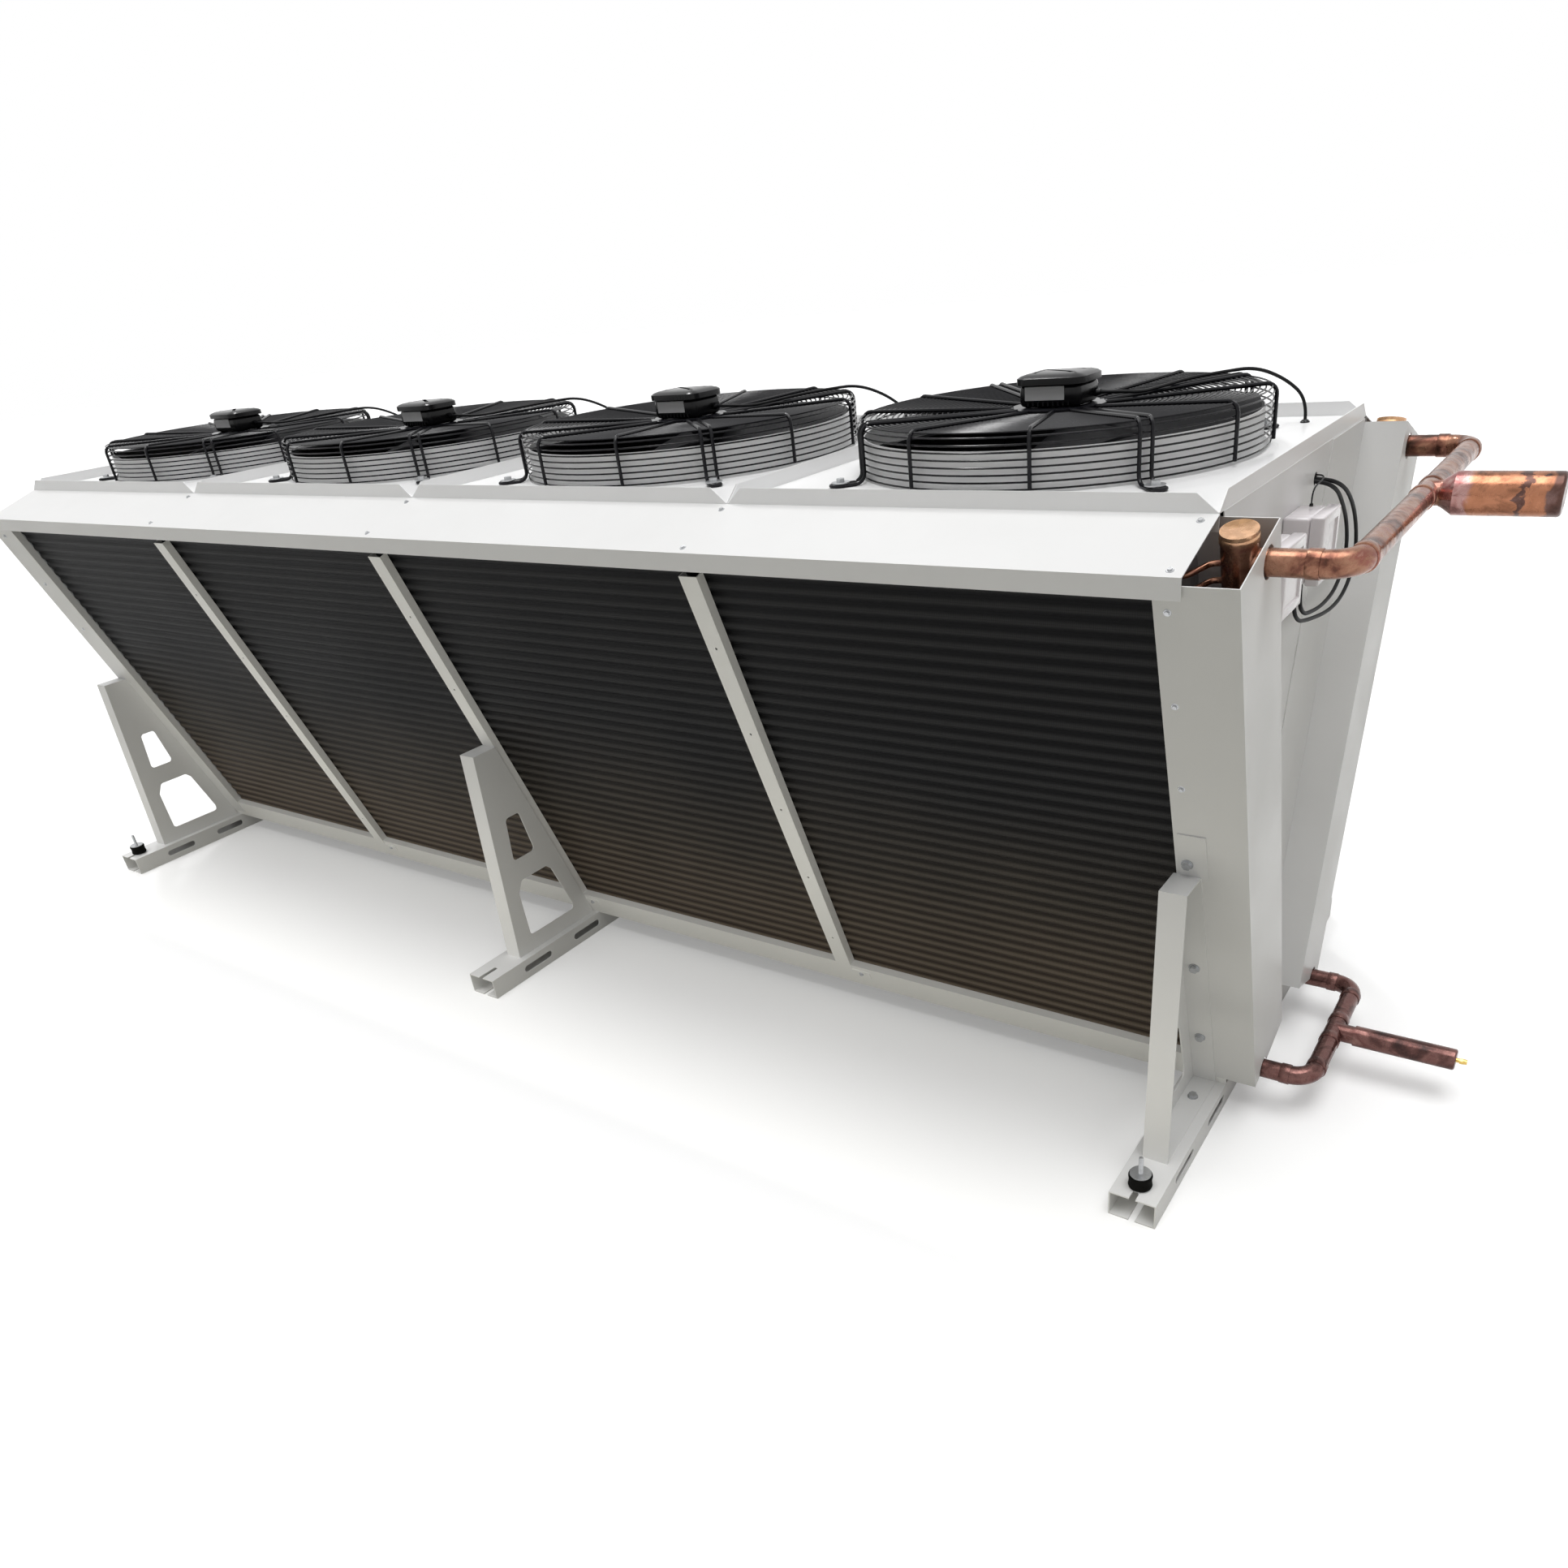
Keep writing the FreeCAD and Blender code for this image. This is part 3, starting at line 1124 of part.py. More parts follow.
hole = Vector(size("cabinet_half"), size("cable_hole_y"), size("cable_hole_z"))
gland_x = size("cabinet_half") + size("box_base") / 2
gland_z, gap = size("box_low") - size("gland_length"), size("seat_gap")
lead_radius, thin = size("cable_radius"), size("thin_radius")
box_top = size("box_low") + size("box_height")
supply, collars = [], []
for name, (gland, waypoints) in SUPPLY_ROUTES.items():
    mouth = Vector(gland_x, size(gland), gland_z)
    route = [hole + Vector(*point) for point in waypoints]
    route += [mouth - Vector(0, 0, 3 * size("gland_length")), mouth - Vector(0, 0, gap)]
    supply.append(shaped(name, cord_shape(name, route, lead_radius)))
    collars.append(shaped(gland, Part.makeCylinder(size("gland_radius"), size("gland_length"), mouth)))
thin_seat = Vector(gland_x, size("gland_rear"), box_top)
route = [hole + Vector(*point) for point in THIN_ROUTE]
route.append(thin_seat + Vector(0, 0, lead_radius + gap))
supply.append(shaped("thin_lead", cord_shape("thin_lead", route, thin)))
collars.append(shaped("gland_thin", Part.makeCylinder(lead_radius, lead_radius, thin_seat)))
keep(grouped("supply_group", supply), "supply_cables")

cable_side = size("terminal_length") / 2 - size("terminal_flare") + size("box_gland")
cable_mid = size("crown_height") + size("terminal_height") / 2
for number, box in zip(FANS, boxes):
    x = (number - 2.5) * size("fan_pitch")
    spot = Vector(x + size("conduit_x"), size("conduit_y"), deck_z(0))
    disc = Part.makeCylinder(size("grommet_radius"), size("grommet_height"), spot)
    collars.append(shaped(f"grommet_{number}", disc))
    inner = Vector(x + cable_side - size("box_gland") * 1.25, size("box_gland_y"), deck_z(cable_mid))
    socket = Part.makeCylinder(size("box_gland_radius"), size("box_gland") * 1.25, inner, Vector(1, 0, 0))
    collars.append(shaped(f"socket_{number}", socket.cut(box.Shape)))
keep(grouped("gland_group", collars), "cable_glands")


def conduit_route(x):
    """From the terminal box over the guard's rim and down to the grommet in the deck."""
    rim = size("guard_height") + size("guard_rod") + size("conduit_radius")
    near, end_x, end_y = cable_side, size("conduit_x"), size("conduit_y")
    foot = size("grommet_height")
    line = [(near + gap, size("box_gland_y"), cable_mid), (near + 36, size("box_gland_y"), cable_mid),
            (near + 68, 56, cable_mid - 7), (near + 82, 116, cable_mid - 7), (near + 115, 211, rim - 3.5),
            (near + 169, 266, rim), (end_x - 88, end_y - 92, rim + 1.5),
            (end_x - 36.5, end_y - 38.5, rim - 30.5), (end_x, end_y, foot + 41), (end_x, end_y, foot + gap)]
    return [Vector(x + across, back, deck_z(height)) for across, back, height in line]


conduits = []
for number in FANS:
    name, route = f"conduit_{number}", conduit_route((number - 2.5) * size("fan_pitch"))
    conduits.append(shaped(name, cord_shape(name, route, size("conduit_radius"))))
keep(grouped("conduit_group", conduits), "fan_conduits")


# Screws and bolts

def head(place, axis, radius, height):
    return Part.makeCylinder(radius, height, place, axis)


OUT_FRONT = bank_place().Rotation.multVec(Vector(0, -1, 0))
screw_r, screw_h = size("screw_radius"), size("screw_head")
cover_x = (size("coil_right") + 23, -size("coil_left") - 76)
screw_top = size("cover_high") - size("screw_drop")
screw_ups = [screw_top - i * size("screw_spacing") for i in range(3)]
screws = [head(bank_point(x, 0, up), OUT_FRONT, screw_r, screw_h) for x in cover_x for up in screw_ups]
strap_tab = size("strap_width") / 2 + size("tab_reach") / 2
tab_up = size("strap_low") + size("tab_height") / 2
screws += [head(bank_point(joint * size("fan_pitch") + strap_tab, 0, tab_up), OUT_FRONT, screw_r, screw_h)
           for joint in CELL_JOINTS]
cowl_low = Vector(0, -size("cowl_half"), size("cowl_fold"))
cowl_high = Vector(0, -size("deck_depth") / 2, size("deck_height") - size("sheet_wall"))
cowl_rise = cowl_high - cowl_low
cowl_out = Vector(0, -cowl_rise.z, cowl_rise.y).normalize()
for x in [joint * size("fan_pitch") for joint in CELL_JOINTS] + [size("cabinet_half") - 4 * screw_r]:
    for share in (0.1, 0.88):
        place = cowl_low + cowl_rise * share + Vector(x, 0, 0)
        screws.append(head(place, cowl_out, screw_r, screw_h))
front_screws = shaped("front_screws", Part.makeCompound(screws))
keep(grouped("screw_group", [front_screws, mirrored(front_screws, "rear_screws")]), "panel_screws")


def bolt_shape(place, axis, shank):
    """Hexagon head on a washer, with the shank that stands between it and its seat."""
    washer = Part.makeCylinder(size("washer_radius") if shank else size("bolt_radius") * 1.3,
                               size("washer_wall"), Vector(0, 0, shank))
    turn = math.pi / 3
    ring = [Vector(math.cos(i * turn), math.sin(i * turn), 0) * size("bolt_radius") for i in range(7)]
    hexagon = Part.Face(Part.makePolygon(ring)).extrude(Vector(0, 0, size("bolt_head")))
    hexagon.translate(Vector(0, 0, shank + size("washer_wall")))
    whole = washer.fuse(hexagon)
    if shank:
        whole = whole.fuse(Part.makeCylinder(size("bolt_shank"), shank))
    whole.Placement = Placement(place, Rotation(Vector(0, 0, 1), axis))
    return whole


bolts = []
rod_height = 2 * size("guard_rod") + size("seat_gap")
for number in FANS:
    for sign_x in (-1, 1):
        for sign_y in (-1, 1):
            place = Vector((number - 2.5) * size("fan_pitch") + sign_x * size("foot_x"),
                           sign_y * size("foot_y"), deck_z(0))
            bolts.append(bolt_shape(place, Vector(0, 0, 1), rod_height))
wall = size("bracket_wall")
for rail_x in (-size("rail_left"), 0, size("rail_right")):
    for up in (size("bolt_low"), size("bolt_high")):
        for sign_y in (-1, 1):
            place = bank_point(rail_x, -wall, up)
            out = Vector(OUT_FRONT)
            if sign_y > 0:
                place.y, out.y = -place.y, -out.y
            bolts.append(bolt_shape(place, out, 0))
    for sign_y in (-1, 1):
        place = Vector(rail_x, sign_y * size("rail_bolt_y"), size("rail_height") + wall)
        bolts.append(bolt_shape(place, Vector(0, 0, 1), 0))
for sign_y in (-1, 1):
    place = bank_point(size("rail_right") + size("bracket_wall"), -wall,
                       up_slope(-wall, size("bracket_top") + size("anchor_bolt")))
    out = Vector(OUT_FRONT)
    if sign_y > 0:
        place.y, out.y = -place.y, -out.y
    bolts.append(bolt_shape(place, out, 0))
keep(shaped("bolt_heads", Part.makeCompound(bolts)), "hex_bolts")


# Finish: check every object and write one file for each sub-part

doc.recompute()
for obj in doc.Objects:
    if "Invalid" in obj.State or "Error" in obj.State:
        raise ValueError(f"{obj.Name} failed: {obj.State}")
for piece in nodes:
    if piece.Shape.isNull() or not piece.Shape.isValid() or not piece.Shape.Solids:
        raise ValueError(f"{piece.Label} has no valid solid")
os.makedirs("parts", exist_ok=True)
for piece in nodes:
    piece.Shape.exportStep(f"parts/{piece.Label}.step")
print(len(nodes), "sub-parts written")
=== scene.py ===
# %% [markdown]
# # An air-cooled condenser with four guarded fans
# The solids of the machine are already packed as a frame of named nodes in one place.
# This lesson gives every node a surface and models the finer pieces on top of them:
# wire guards, boxes, fittings, screws and rubber feet. Lengths are in metres, the row
# of fans runs along X, the front faces -Y and Z is up.

import json
import math

import bmesh
import bpy
from mathutils import Matrix, Quaternion, Vector


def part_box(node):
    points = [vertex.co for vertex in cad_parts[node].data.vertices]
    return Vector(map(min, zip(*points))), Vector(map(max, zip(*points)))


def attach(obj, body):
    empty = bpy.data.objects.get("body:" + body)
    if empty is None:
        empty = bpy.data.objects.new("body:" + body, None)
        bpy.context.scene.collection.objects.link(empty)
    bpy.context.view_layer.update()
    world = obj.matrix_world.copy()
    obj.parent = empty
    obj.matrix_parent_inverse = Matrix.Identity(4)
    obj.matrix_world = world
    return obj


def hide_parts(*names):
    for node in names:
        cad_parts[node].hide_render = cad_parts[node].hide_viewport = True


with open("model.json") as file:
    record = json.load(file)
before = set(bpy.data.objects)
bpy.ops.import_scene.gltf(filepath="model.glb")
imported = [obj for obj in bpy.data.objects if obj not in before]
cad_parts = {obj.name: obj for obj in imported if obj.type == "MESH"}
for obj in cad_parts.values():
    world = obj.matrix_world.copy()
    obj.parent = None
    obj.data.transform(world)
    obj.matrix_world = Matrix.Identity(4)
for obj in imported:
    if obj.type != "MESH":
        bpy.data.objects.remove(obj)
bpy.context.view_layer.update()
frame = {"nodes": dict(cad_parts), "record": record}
nodes = frame["nodes"]

# %% [markdown]
# ## Small helpers for every piece
# A piece is modelled in a bmesh and then handed to one function, which makes the object,
# shades its curved faces smooth, gives it a material and lets it ride on the fixed body.
# Doing it in one place keeps each modelling cell about shape only.

# %% Finish a bmesh as a piece that rides on the fixed body
def add_object(name, data):
    """Make an object from its data and put it into the scene."""
    made = bpy.data.objects.new(name, data)
    bpy.context.scene.collection.objects.link(made)
    return made


def finish_piece(bm, name, material, sharp_angle=34):
    """Turn a bmesh into a named object with its material, on the fixed body."""
    mesh = bpy.data.meshes.new(name)
    for face in bm.faces:
        face.smooth = True
    bm.to_mesh(mesh)
    bm.free()
    mesh.set_sharp_from_angle(angle=math.radians(sharp_angle))
    mesh.materials.append(material)
    piece = add_object(name, mesh)
    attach(piece, "frame")
    print(f"{name}: {len(mesh.polygons)} faces")
    return piece


# %% Move, bevel and add simple forms
def shift(x=0.0, y=0.0, z=0.0):
    """Matrix that moves by a distance."""
    return Matrix.Translation((x, y, z))


def edges_of(verts):
    """Edges that meet some vertices, each of them once."""
    return list(dict.fromkeys(edge for vert in verts for edge in vert.link_edges))


def place(bm, verts, matrix):
    """Move some vertices of a bmesh by a matrix."""
    bmesh.ops.transform(bm, matrix=matrix, verts=verts)


def face_outward(bm):
    """Turn all faces of closed forms outward."""
    bmesh.ops.recalc_face_normals(bm, faces=bm.faces)


def soften(bm, edges, width, segments=2):
    """Bevel edges by a width with the same settings everywhere."""
    bmesh.ops.bevel(bm, geom=edges, offset=width, segments=segments, profile=0.5,
                    affect="EDGES", material=-1, clamp_overlap=True)


def add_cube(bm, centre, size):
    """Add a box of some size about a centre, and return its vertices."""
    verts = bmesh.ops.create_cube(bm, size=1.0)["verts"]
    place(bm, verts, Matrix.Translation(centre) @ Matrix.Diagonal((*size, 1)))
    return verts


def add_block(bm, low, high, edge=0.0, segments=2):
    """Add a box between two corners, with its edges softened."""
    low, high = Vector(low), Vector(high)
    verts = add_cube(bm, (low + high) / 2, high - low)
    if edge:
        soften(bm, edges_of(verts), edge, segments)


def add_disc(bm, matrix, radius, height, sides=24, top=None):
    """Add a closed cylinder or cone whose foot is at the matrix's origin, along its Z."""
    made = bmesh.ops.create_cone(bm, cap_ends=True, segments=sides, radius1=radius,
                                 radius2=radius if top is None else top, depth=height)
    place(bm, made["verts"], matrix @ shift(z=height / 2))
    return made["verts"]


def along(origin, direction):
    """Matrix at a point whose Z runs along a direction."""
    turn = Vector(direction).to_track_quat("Z", "Y").to_matrix().to_4x4()
    return Matrix.Translation(origin) @ turn


# %% [markdown]
# ## Surface effects shared by several finishes
# Powder coat has a fine orange peel and cut sheet has faint handling marks. Each of these two
# effects is a small shader group: it puts out values and colours only, so any material can use
# it with its own numbers. Copper takes colours where it was heated, made in its own material.

# %% Build a shader group from a list of sockets
FLOAT, COLOUR, VECTOR = "NodeSocketFloat", "NodeSocketColor", "NodeSocketVector"


def new_group(name, inputs, outputs):
    """Make a node group with its sockets, and return it with its two ends."""
    group = bpy.data.node_groups.new(name, "ShaderNodeTree")
    for label, kind, value in inputs:
        socket = group.interface.new_socket(name=label, in_out="INPUT", socket_type=kind)
        if value is not None:
            socket.default_value = value
    for label, kind in outputs:
        group.interface.new_socket(name=label, in_out="OUTPUT", socket_type=kind)
    start = group.nodes.new("NodeGroupInput")
    end = group.nodes.new("NodeGroupOutput")
    return group, start, end


def add_node(tree, kind, values=None, **settings):
    """Add a shader node, set its attributes and then the numbers on its input sockets."""
    node = tree.nodes.new("ShaderNode" + kind)
    for key, value in settings.items():
        setattr(node, key, value)
    for socket, value in (values or {}).items():
        node.inputs[socket].default_value = value
    return node


def wire(tree, source, target):
    """Join an output socket to an input socket."""
    tree.links.new(source, target)


# %% Group: orange peel of a powder coat
peel_group, start, end = new_group(
    "orange_peel",
    [("Position", VECTOR, None), ("Grain", FLOAT, 900.0), ("Roughness low", FLOAT, 0.3),
     ("Roughness high", FLOAT, 0.45)],
    [("Height", FLOAT), ("Roughness", FLOAT)])
noise = add_node(peel_group, "TexNoise", {"Detail": 3.0})
broad = add_node(peel_group, "TexNoise", {"Scale": 5.0, "Detail": 4.0})
spread = add_node(peel_group, "MapRange", {"From Min": 0.35, "From Max": 0.65})
wire(peel_group, start.outputs["Position"], noise.inputs["Vector"])
wire(peel_group, start.outputs["Position"], broad.inputs["Vector"])
wire(peel_group, start.outputs["Grain"], noise.inputs["Scale"])
wire(peel_group, broad.outputs["Fac"], spread.inputs["Value"])
wire(peel_group, start.outputs["Roughness low"], spread.inputs["To Min"])
wire(peel_group, start.outputs["Roughness high"], spread.inputs["To Max"])
wire(peel_group, noise.outputs["Fac"], end.inputs["Height"])
wire(peel_group, spread.outputs["Result"], end.inputs["Roughness"])
print("group", peel_group.name)

# %% Group: a base colour with faint smudges and dust
tone_group, start, end = new_group(
    "handled_tone",
    [("Position", VECTOR, None), ("Clean", COLOUR, (0.8, 0.8, 0.8, 1)),
     ("Marked", COLOUR, (0.6, 0.6, 0.6, 1)), ("Patch size", FLOAT, 4.0), ("Amount", FLOAT, 0.5)],
    [("Colour", COLOUR)])
patches = add_node(tone_group, "TexNoise", {"Detail": 6.0, "Roughness": 0.62})
narrow = add_node(tone_group, "MapRange", {"From Min": 0.45, "From Max": 0.75})
amount = add_node(tone_group, "Math", operation="MULTIPLY")
mixer = add_node(tone_group, "Mix", data_type="RGBA")
wire(tone_group, start.outputs["Position"], patches.inputs["Vector"])
wire(tone_group, start.outputs["Patch size"], patches.inputs["Scale"])
wire(tone_group, patches.outputs["Fac"], narrow.inputs["Value"])
wire(tone_group, narrow.outputs["Result"], amount.inputs[0])
wire(tone_group, start.outputs["Amount"], amount.inputs[1])
wire(tone_group, amount.outputs["Value"], mixer.inputs["Factor"])
wire(tone_group, start.outputs["Clean"], mixer.inputs["A"])
wire(tone_group, start.outputs["Marked"], mixer.inputs["B"])
wire(tone_group, mixer.outputs["Result"], end.inputs["Colour"])
print("group", tone_group.name)

# %% [markdown]
# ## Materials
# Every finish is a Principled shader that reads Object coordinates, which here are the
# machine's own metres. A helper sets the plain numbers on the shader itself and joins the
# two groups to it, so a finish is one short call and its differences are easy to read.

# %% A finish from the two groups
finishes = {}


def new_material(name):
    """Make a material and return it with its node tree and its shader."""
    material = bpy.data.materials.new(name)
    material.use_nodes = True
    return material, material.node_tree, material.node_tree.nodes["Principled BSDF"]


def new_finish(name, clean, marked, patch, amount, rough, grain, bump,
               metallic=0.0, coat=0.0, shine=0.5):
    """Material with handled colour, uneven gloss and a fine grain, kept under its name."""
    finishes[name], tree, shader = new_material(name)
    shader.inputs["Metallic"].default_value = metallic
    shader.inputs["Coat Weight"].default_value = coat
    shader.inputs["Specular IOR Level"].default_value = shine
    where = add_node(tree, "TexCoord")
    tone = add_node(tree, "Group", {"Clean": (*clean, 1), "Marked": (*marked, 1),
                                    "Patch size": patch, "Amount": amount}, node_tree=tone_group)
    peel = add_node(tree, "Group", {"Grain": grain, "Roughness low": rough[0],
                                    "Roughness high": rough[1]}, node_tree=peel_group)
    relief = add_node(tree, "Bump", {"Strength": bump, "Distance": 0.0004})
    wire(tree, where.outputs["Object"], tone.inputs["Position"])
    wire(tree, where.outputs["Object"], peel.inputs["Position"])
    wire(tree, tone.outputs["Colour"], shader.inputs["Base Color"])
    wire(tree, peel.outputs["Roughness"], shader.inputs["Roughness"])
    wire(tree, peel.outputs["Height"], relief.inputs["Height"])
    wire(tree, relief.outputs["Normal"], shader.inputs["Normal"])


# %% Painted sheet and bare metal
new_finish("coated_sheet", (0.775, 0.775, 0.77), (0.69, 0.69, 0.68), patch=2.2, amount=0.35,
           rough=(0.32, 0.46), grain=1100, bump=0.05, shine=0.3)
# Two brighter copies of the coated sheet, as painted light for the straps, sills, deck and fan
# collars
new_finish("painted_light_trim_sheet", (0.92, 0.92, 0.9), (0.84, 0.84, 0.82), patch=2.2, amount=0.35,
           rough=(0.32, 0.46), grain=1100, bump=0.05)
new_finish("painted_light_deck_sheet", (0.9, 0.9, 0.9), (0.82, 0.82, 0.815), patch=3.0, amount=0.35,
           rough=(0.28, 0.42), grain=1100, bump=0.04)
new_finish("zinc_steel", (0.5, 0.51, 0.52), (0.3, 0.3, 0.31), patch=60, amount=0.7,
           rough=(0.28, 0.5), grain=400, bump=0.06, metallic=0.9)
new_finish("brass_fitting", (0.72, 0.5, 0.16), (0.42, 0.28, 0.1), patch=90, amount=0.5,
           rough=(0.2, 0.34), grain=900, bump=0.05, metallic=1.0)
print("sheet and metal:", ", ".join(finishes))

# %% Black wire and mouldings, pale plastic and rubber
new_finish("black_wire", (0.006, 0.006, 0.008), (0.016, 0.016, 0.019), patch=30, amount=0.4,
           rough=(0.17, 0.3), grain=1500, bump=0.05, shine=0.2)
new_finish("black_blades", (0.006, 0.006, 0.007), (0.02, 0.02, 0.022), patch=9, amount=0.5,
           rough=(0.3, 0.46), grain=900, bump=0.06, shine=0.08)
new_finish("black_motor", (0.008, 0.008, 0.01), (0.022, 0.022, 0.024), patch=14, amount=0.5,
           rough=(0.34, 0.5), grain=500, bump=0.12, shine=0.2)
new_finish("black_plastic", (0.006, 0.006, 0.007), (0.015, 0.015, 0.016), patch=18, amount=0.4,
           rough=(0.14, 0.26), grain=1800, bump=0.03, shine=0.22)
new_finish("pale_plastic", (0.7, 0.66, 0.68), (0.55, 0.53, 0.54), patch=12, amount=0.35,
           rough=(0.18, 0.3), grain=700, bump=0.03, coat=0.4)
new_finish("bare_plate", (0.72, 0.72, 0.72), (0.6, 0.6, 0.61), patch=30, amount=0.4,
           rough=(0.3, 0.4), grain=500, bump=0.02)
new_finish("cable_rubber", (0.008, 0.008, 0.009), (0.022, 0.022, 0.022), patch=40, amount=0.4,
           rough=(0.42, 0.58), grain=900, bump=0.08, shine=0.15)
new_finish("buffer_rubber", (0.005, 0.005, 0.0045), (0.013, 0.013, 0.012), patch=60, amount=0.5,
           rough=(0.55, 0.75), grain=1200, bump=0.15, shine=0.03)
print(len(finishes), "finishes from the two groups")

# %% [markdown]
# ## Copper that was brazed
# The pipes were bent, socketed and brazed by hand, so pink copper alternates with brown
# oxide and blackened patches. The wide stub kept a clean orange skin with a few burnt
# bands, and the caps on the upright headers were polished to pale gold. One noise drives a
# colour ramp for each look, and masks made from the place choose between them.

# %% Ramp and mask helpers
def tone_ramp(tree, source, stops):
    """Colour ramp through some tones, fed by a value."""
    ramp = add_node(tree, "ValToRGB")
    while len(ramp.color_ramp.elements) < len(stops):
        ramp.color_ramp.elements.new(0.5)
    for element, (position, colour) in zip(ramp.color_ramp.elements, stops):
        element.position = position
        element.color = (*colour, 1)
    wire(tree, source, ramp.inputs["Fac"])
    return ramp.outputs["Color"]


def step_mask(tree, source, low, high):
    """Value that rises from 0 to 1 between two limits of its source."""
    mask = add_node(tree, "MapRange", {"From Min": low, "From Max": high},
                    interpolation_type="SMOOTHSTEP")
    wire(tree, source, mask.inputs["Value"])
    return mask.outputs["Result"]


def blend(tree, first, second, factor):
    """Colour mix of two sources."""
    mix = add_node(tree, "Mix", data_type="RGBA")
    wire(tree, first, mix.inputs["A"])
    wire(tree, second, mix.inputs["B"])
    wire(tree, factor, mix.inputs["Factor"])
    return mix.outputs["Result"]


def calculate(tree, operation, *terms):
    """Result of a math node whose terms are numbers or output sockets."""
    math_node = add_node(tree, "Math", operation=operation)
    for socket, term in zip(math_node.inputs, terms):
        if isinstance(term, (int, float)):
            socket.default_value = term
        else:
            wire(tree, term, socket)
    return math_node.outputs["Value"]


# %% Tones of the copper, from dark to light patches of one noise
OXIDE = [(0.3, (0.035, 0.018, 0.012)), (0.41, (0.13, 0.05, 0.034)), (0.48, (0.24, 0.11, 0.07)),
         (0.56, (0.33, 0.17, 0.11)), (0.64, (0.24, 0.085, 0.065)), (0.75, (0.46, 0.27, 0.21))]
ORANGE = [(0.33, (0.05, 0.026, 0.018)), (0.43, (0.26, 0.11, 0.06)), (0.52, (0.42, 0.18, 0.1)),
          (0.63, (0.36, 0.15, 0.08)), (0.74, (0.2, 0.11, 0.085))]
GOLD = [(0.35, (0.4, 0.22, 0.1)), (0.5, (0.66, 0.4, 0.24)), (0.65, (0.5, 0.27, 0.14))]
PLUM = [(0.3, (0.03, 0.018, 0.017)), (0.42, (0.09, 0.042, 0.037)), (0.5, (0.17, 0.085, 0.075)),
        (0.6, (0.12, 0.05, 0.045)), (0.74, (0.26, 0.15, 0.13))]
MAUVE = [(0.32, (0.15, 0.065, 0.06)), (0.46, (0.34, 0.17, 0.155)), (0.56, (0.45, 0.27, 0.25)),
         (0.66, (0.3, 0.11, 0.105)), (0.75, (0.5, 0.33, 0.3))]
BURNT = [(0.35, (0.05, 0.03, 0.026)), (0.5, (0.1, 0.05, 0.04)), (0.62, (0.17, 0.1, 0.09))]
print("tones of oxide, orange, gold, plum, mauve and burnt copper")

# %% Heat-tinted copper
# Places in metres, from where a look begins to where it is full, and how far edges wander
UPPER_Z, CAP_Z, CAP_X = (0.9, 1.0), (1.318, 1.334), (2.13, 2.09)
NECK_X, STUB_X, TIP_X = (2.236, 2.25), (2.31, 2.318), (2.435, 2.441)
BAND_START, BAND_END = (2.46, 2.466), (2.486, 2.48)
RAGGED, WANDERING = 0.05, 0.2
finishes["copper_pipe"], tree, shader = new_material("brazed_copper")
where = add_node(tree, "TexCoord")
split = add_node(tree, "SeparateXYZ")
wire(tree, where.outputs["Object"], split.inputs["Vector"])
along_x, up_z = split.outputs["X"], split.outputs["Z"]
large = add_node(tree, "TexNoise",
                 {"Scale": 13.0, "Detail": 7.0, "Roughness": 0.62, "Distortion": 0.7})
wire(tree, where.outputs["Object"], large.inputs["Vector"])
ramps = [tone_ramp(tree, large.outputs["Fac"], stops)
         for stops in (OXIDE, ORANGE, GOLD, PLUM, MAUVE, BURNT)]
oxide, orange, gold, plum, mauve, burnt = ramps
ragged_x = calculate(tree, "MULTIPLY_ADD", large.outputs["Fac"], RAGGED, along_x)
wandering_x = calculate(tree, "MULTIPLY_ADD", large.outputs["Fac"], WANDERING, along_x)
high_up = step_mask(tree, up_z, *UPPER_Z)
on_neck = calculate(tree, "MULTIPLY", step_mask(tree, along_x, *NECK_X), high_up)
on_stub = calculate(tree, "MULTIPLY", step_mask(tree, ragged_x, *STUB_X), high_up)
on_tip = calculate(tree, "MULTIPLY", step_mask(tree, ragged_x, *TIP_X), high_up)
in_band = calculate(tree, "MULTIPLY", step_mask(tree, wandering_x, *BAND_START),
                    step_mask(tree, wandering_x, *BAND_END))
on_band = calculate(tree, "MULTIPLY", in_band, high_up)
on_cap = calculate(tree, "MULTIPLY", step_mask(tree, up_z, *CAP_Z),
                   step_mask(tree, along_x, *CAP_X))
colour = blend(tree, plum, oxide, high_up)
for tones, mask in ((mauve, on_neck), (orange, on_stub), (gold, on_cap), (burnt, on_tip),
                    (burnt, on_band)):
    colour = blend(tree, colour, tones, mask)
fine = add_node(tree, "TexNoise", {"Scale": 70.0, "Detail": 5.0})
wire(tree, where.outputs["Object"], fine.inputs["Vector"])
dull = add_node(tree, "MapRange",
                {"From Min": 0.3, "From Max": 0.7, "To Min": 0.14, "To Max": 0.38})
relief = add_node(tree, "Bump", {"Strength": 0.15, "Distance": 0.001})
wire(tree, colour, shader.inputs["Base Color"])
wire(tree, fine.outputs["Fac"], dull.inputs["Value"])
wire(tree, dull.outputs["Result"], shader.inputs["Roughness"])
wire(tree, fine.outputs["Fac"], relief.inputs["Height"])
wire(tree, relief.outputs["Normal"], shader.inputs["Normal"])
shader.inputs["Metallic"].default_value = 0.85
print("brazed copper with", len(ramps), "tone ramps")
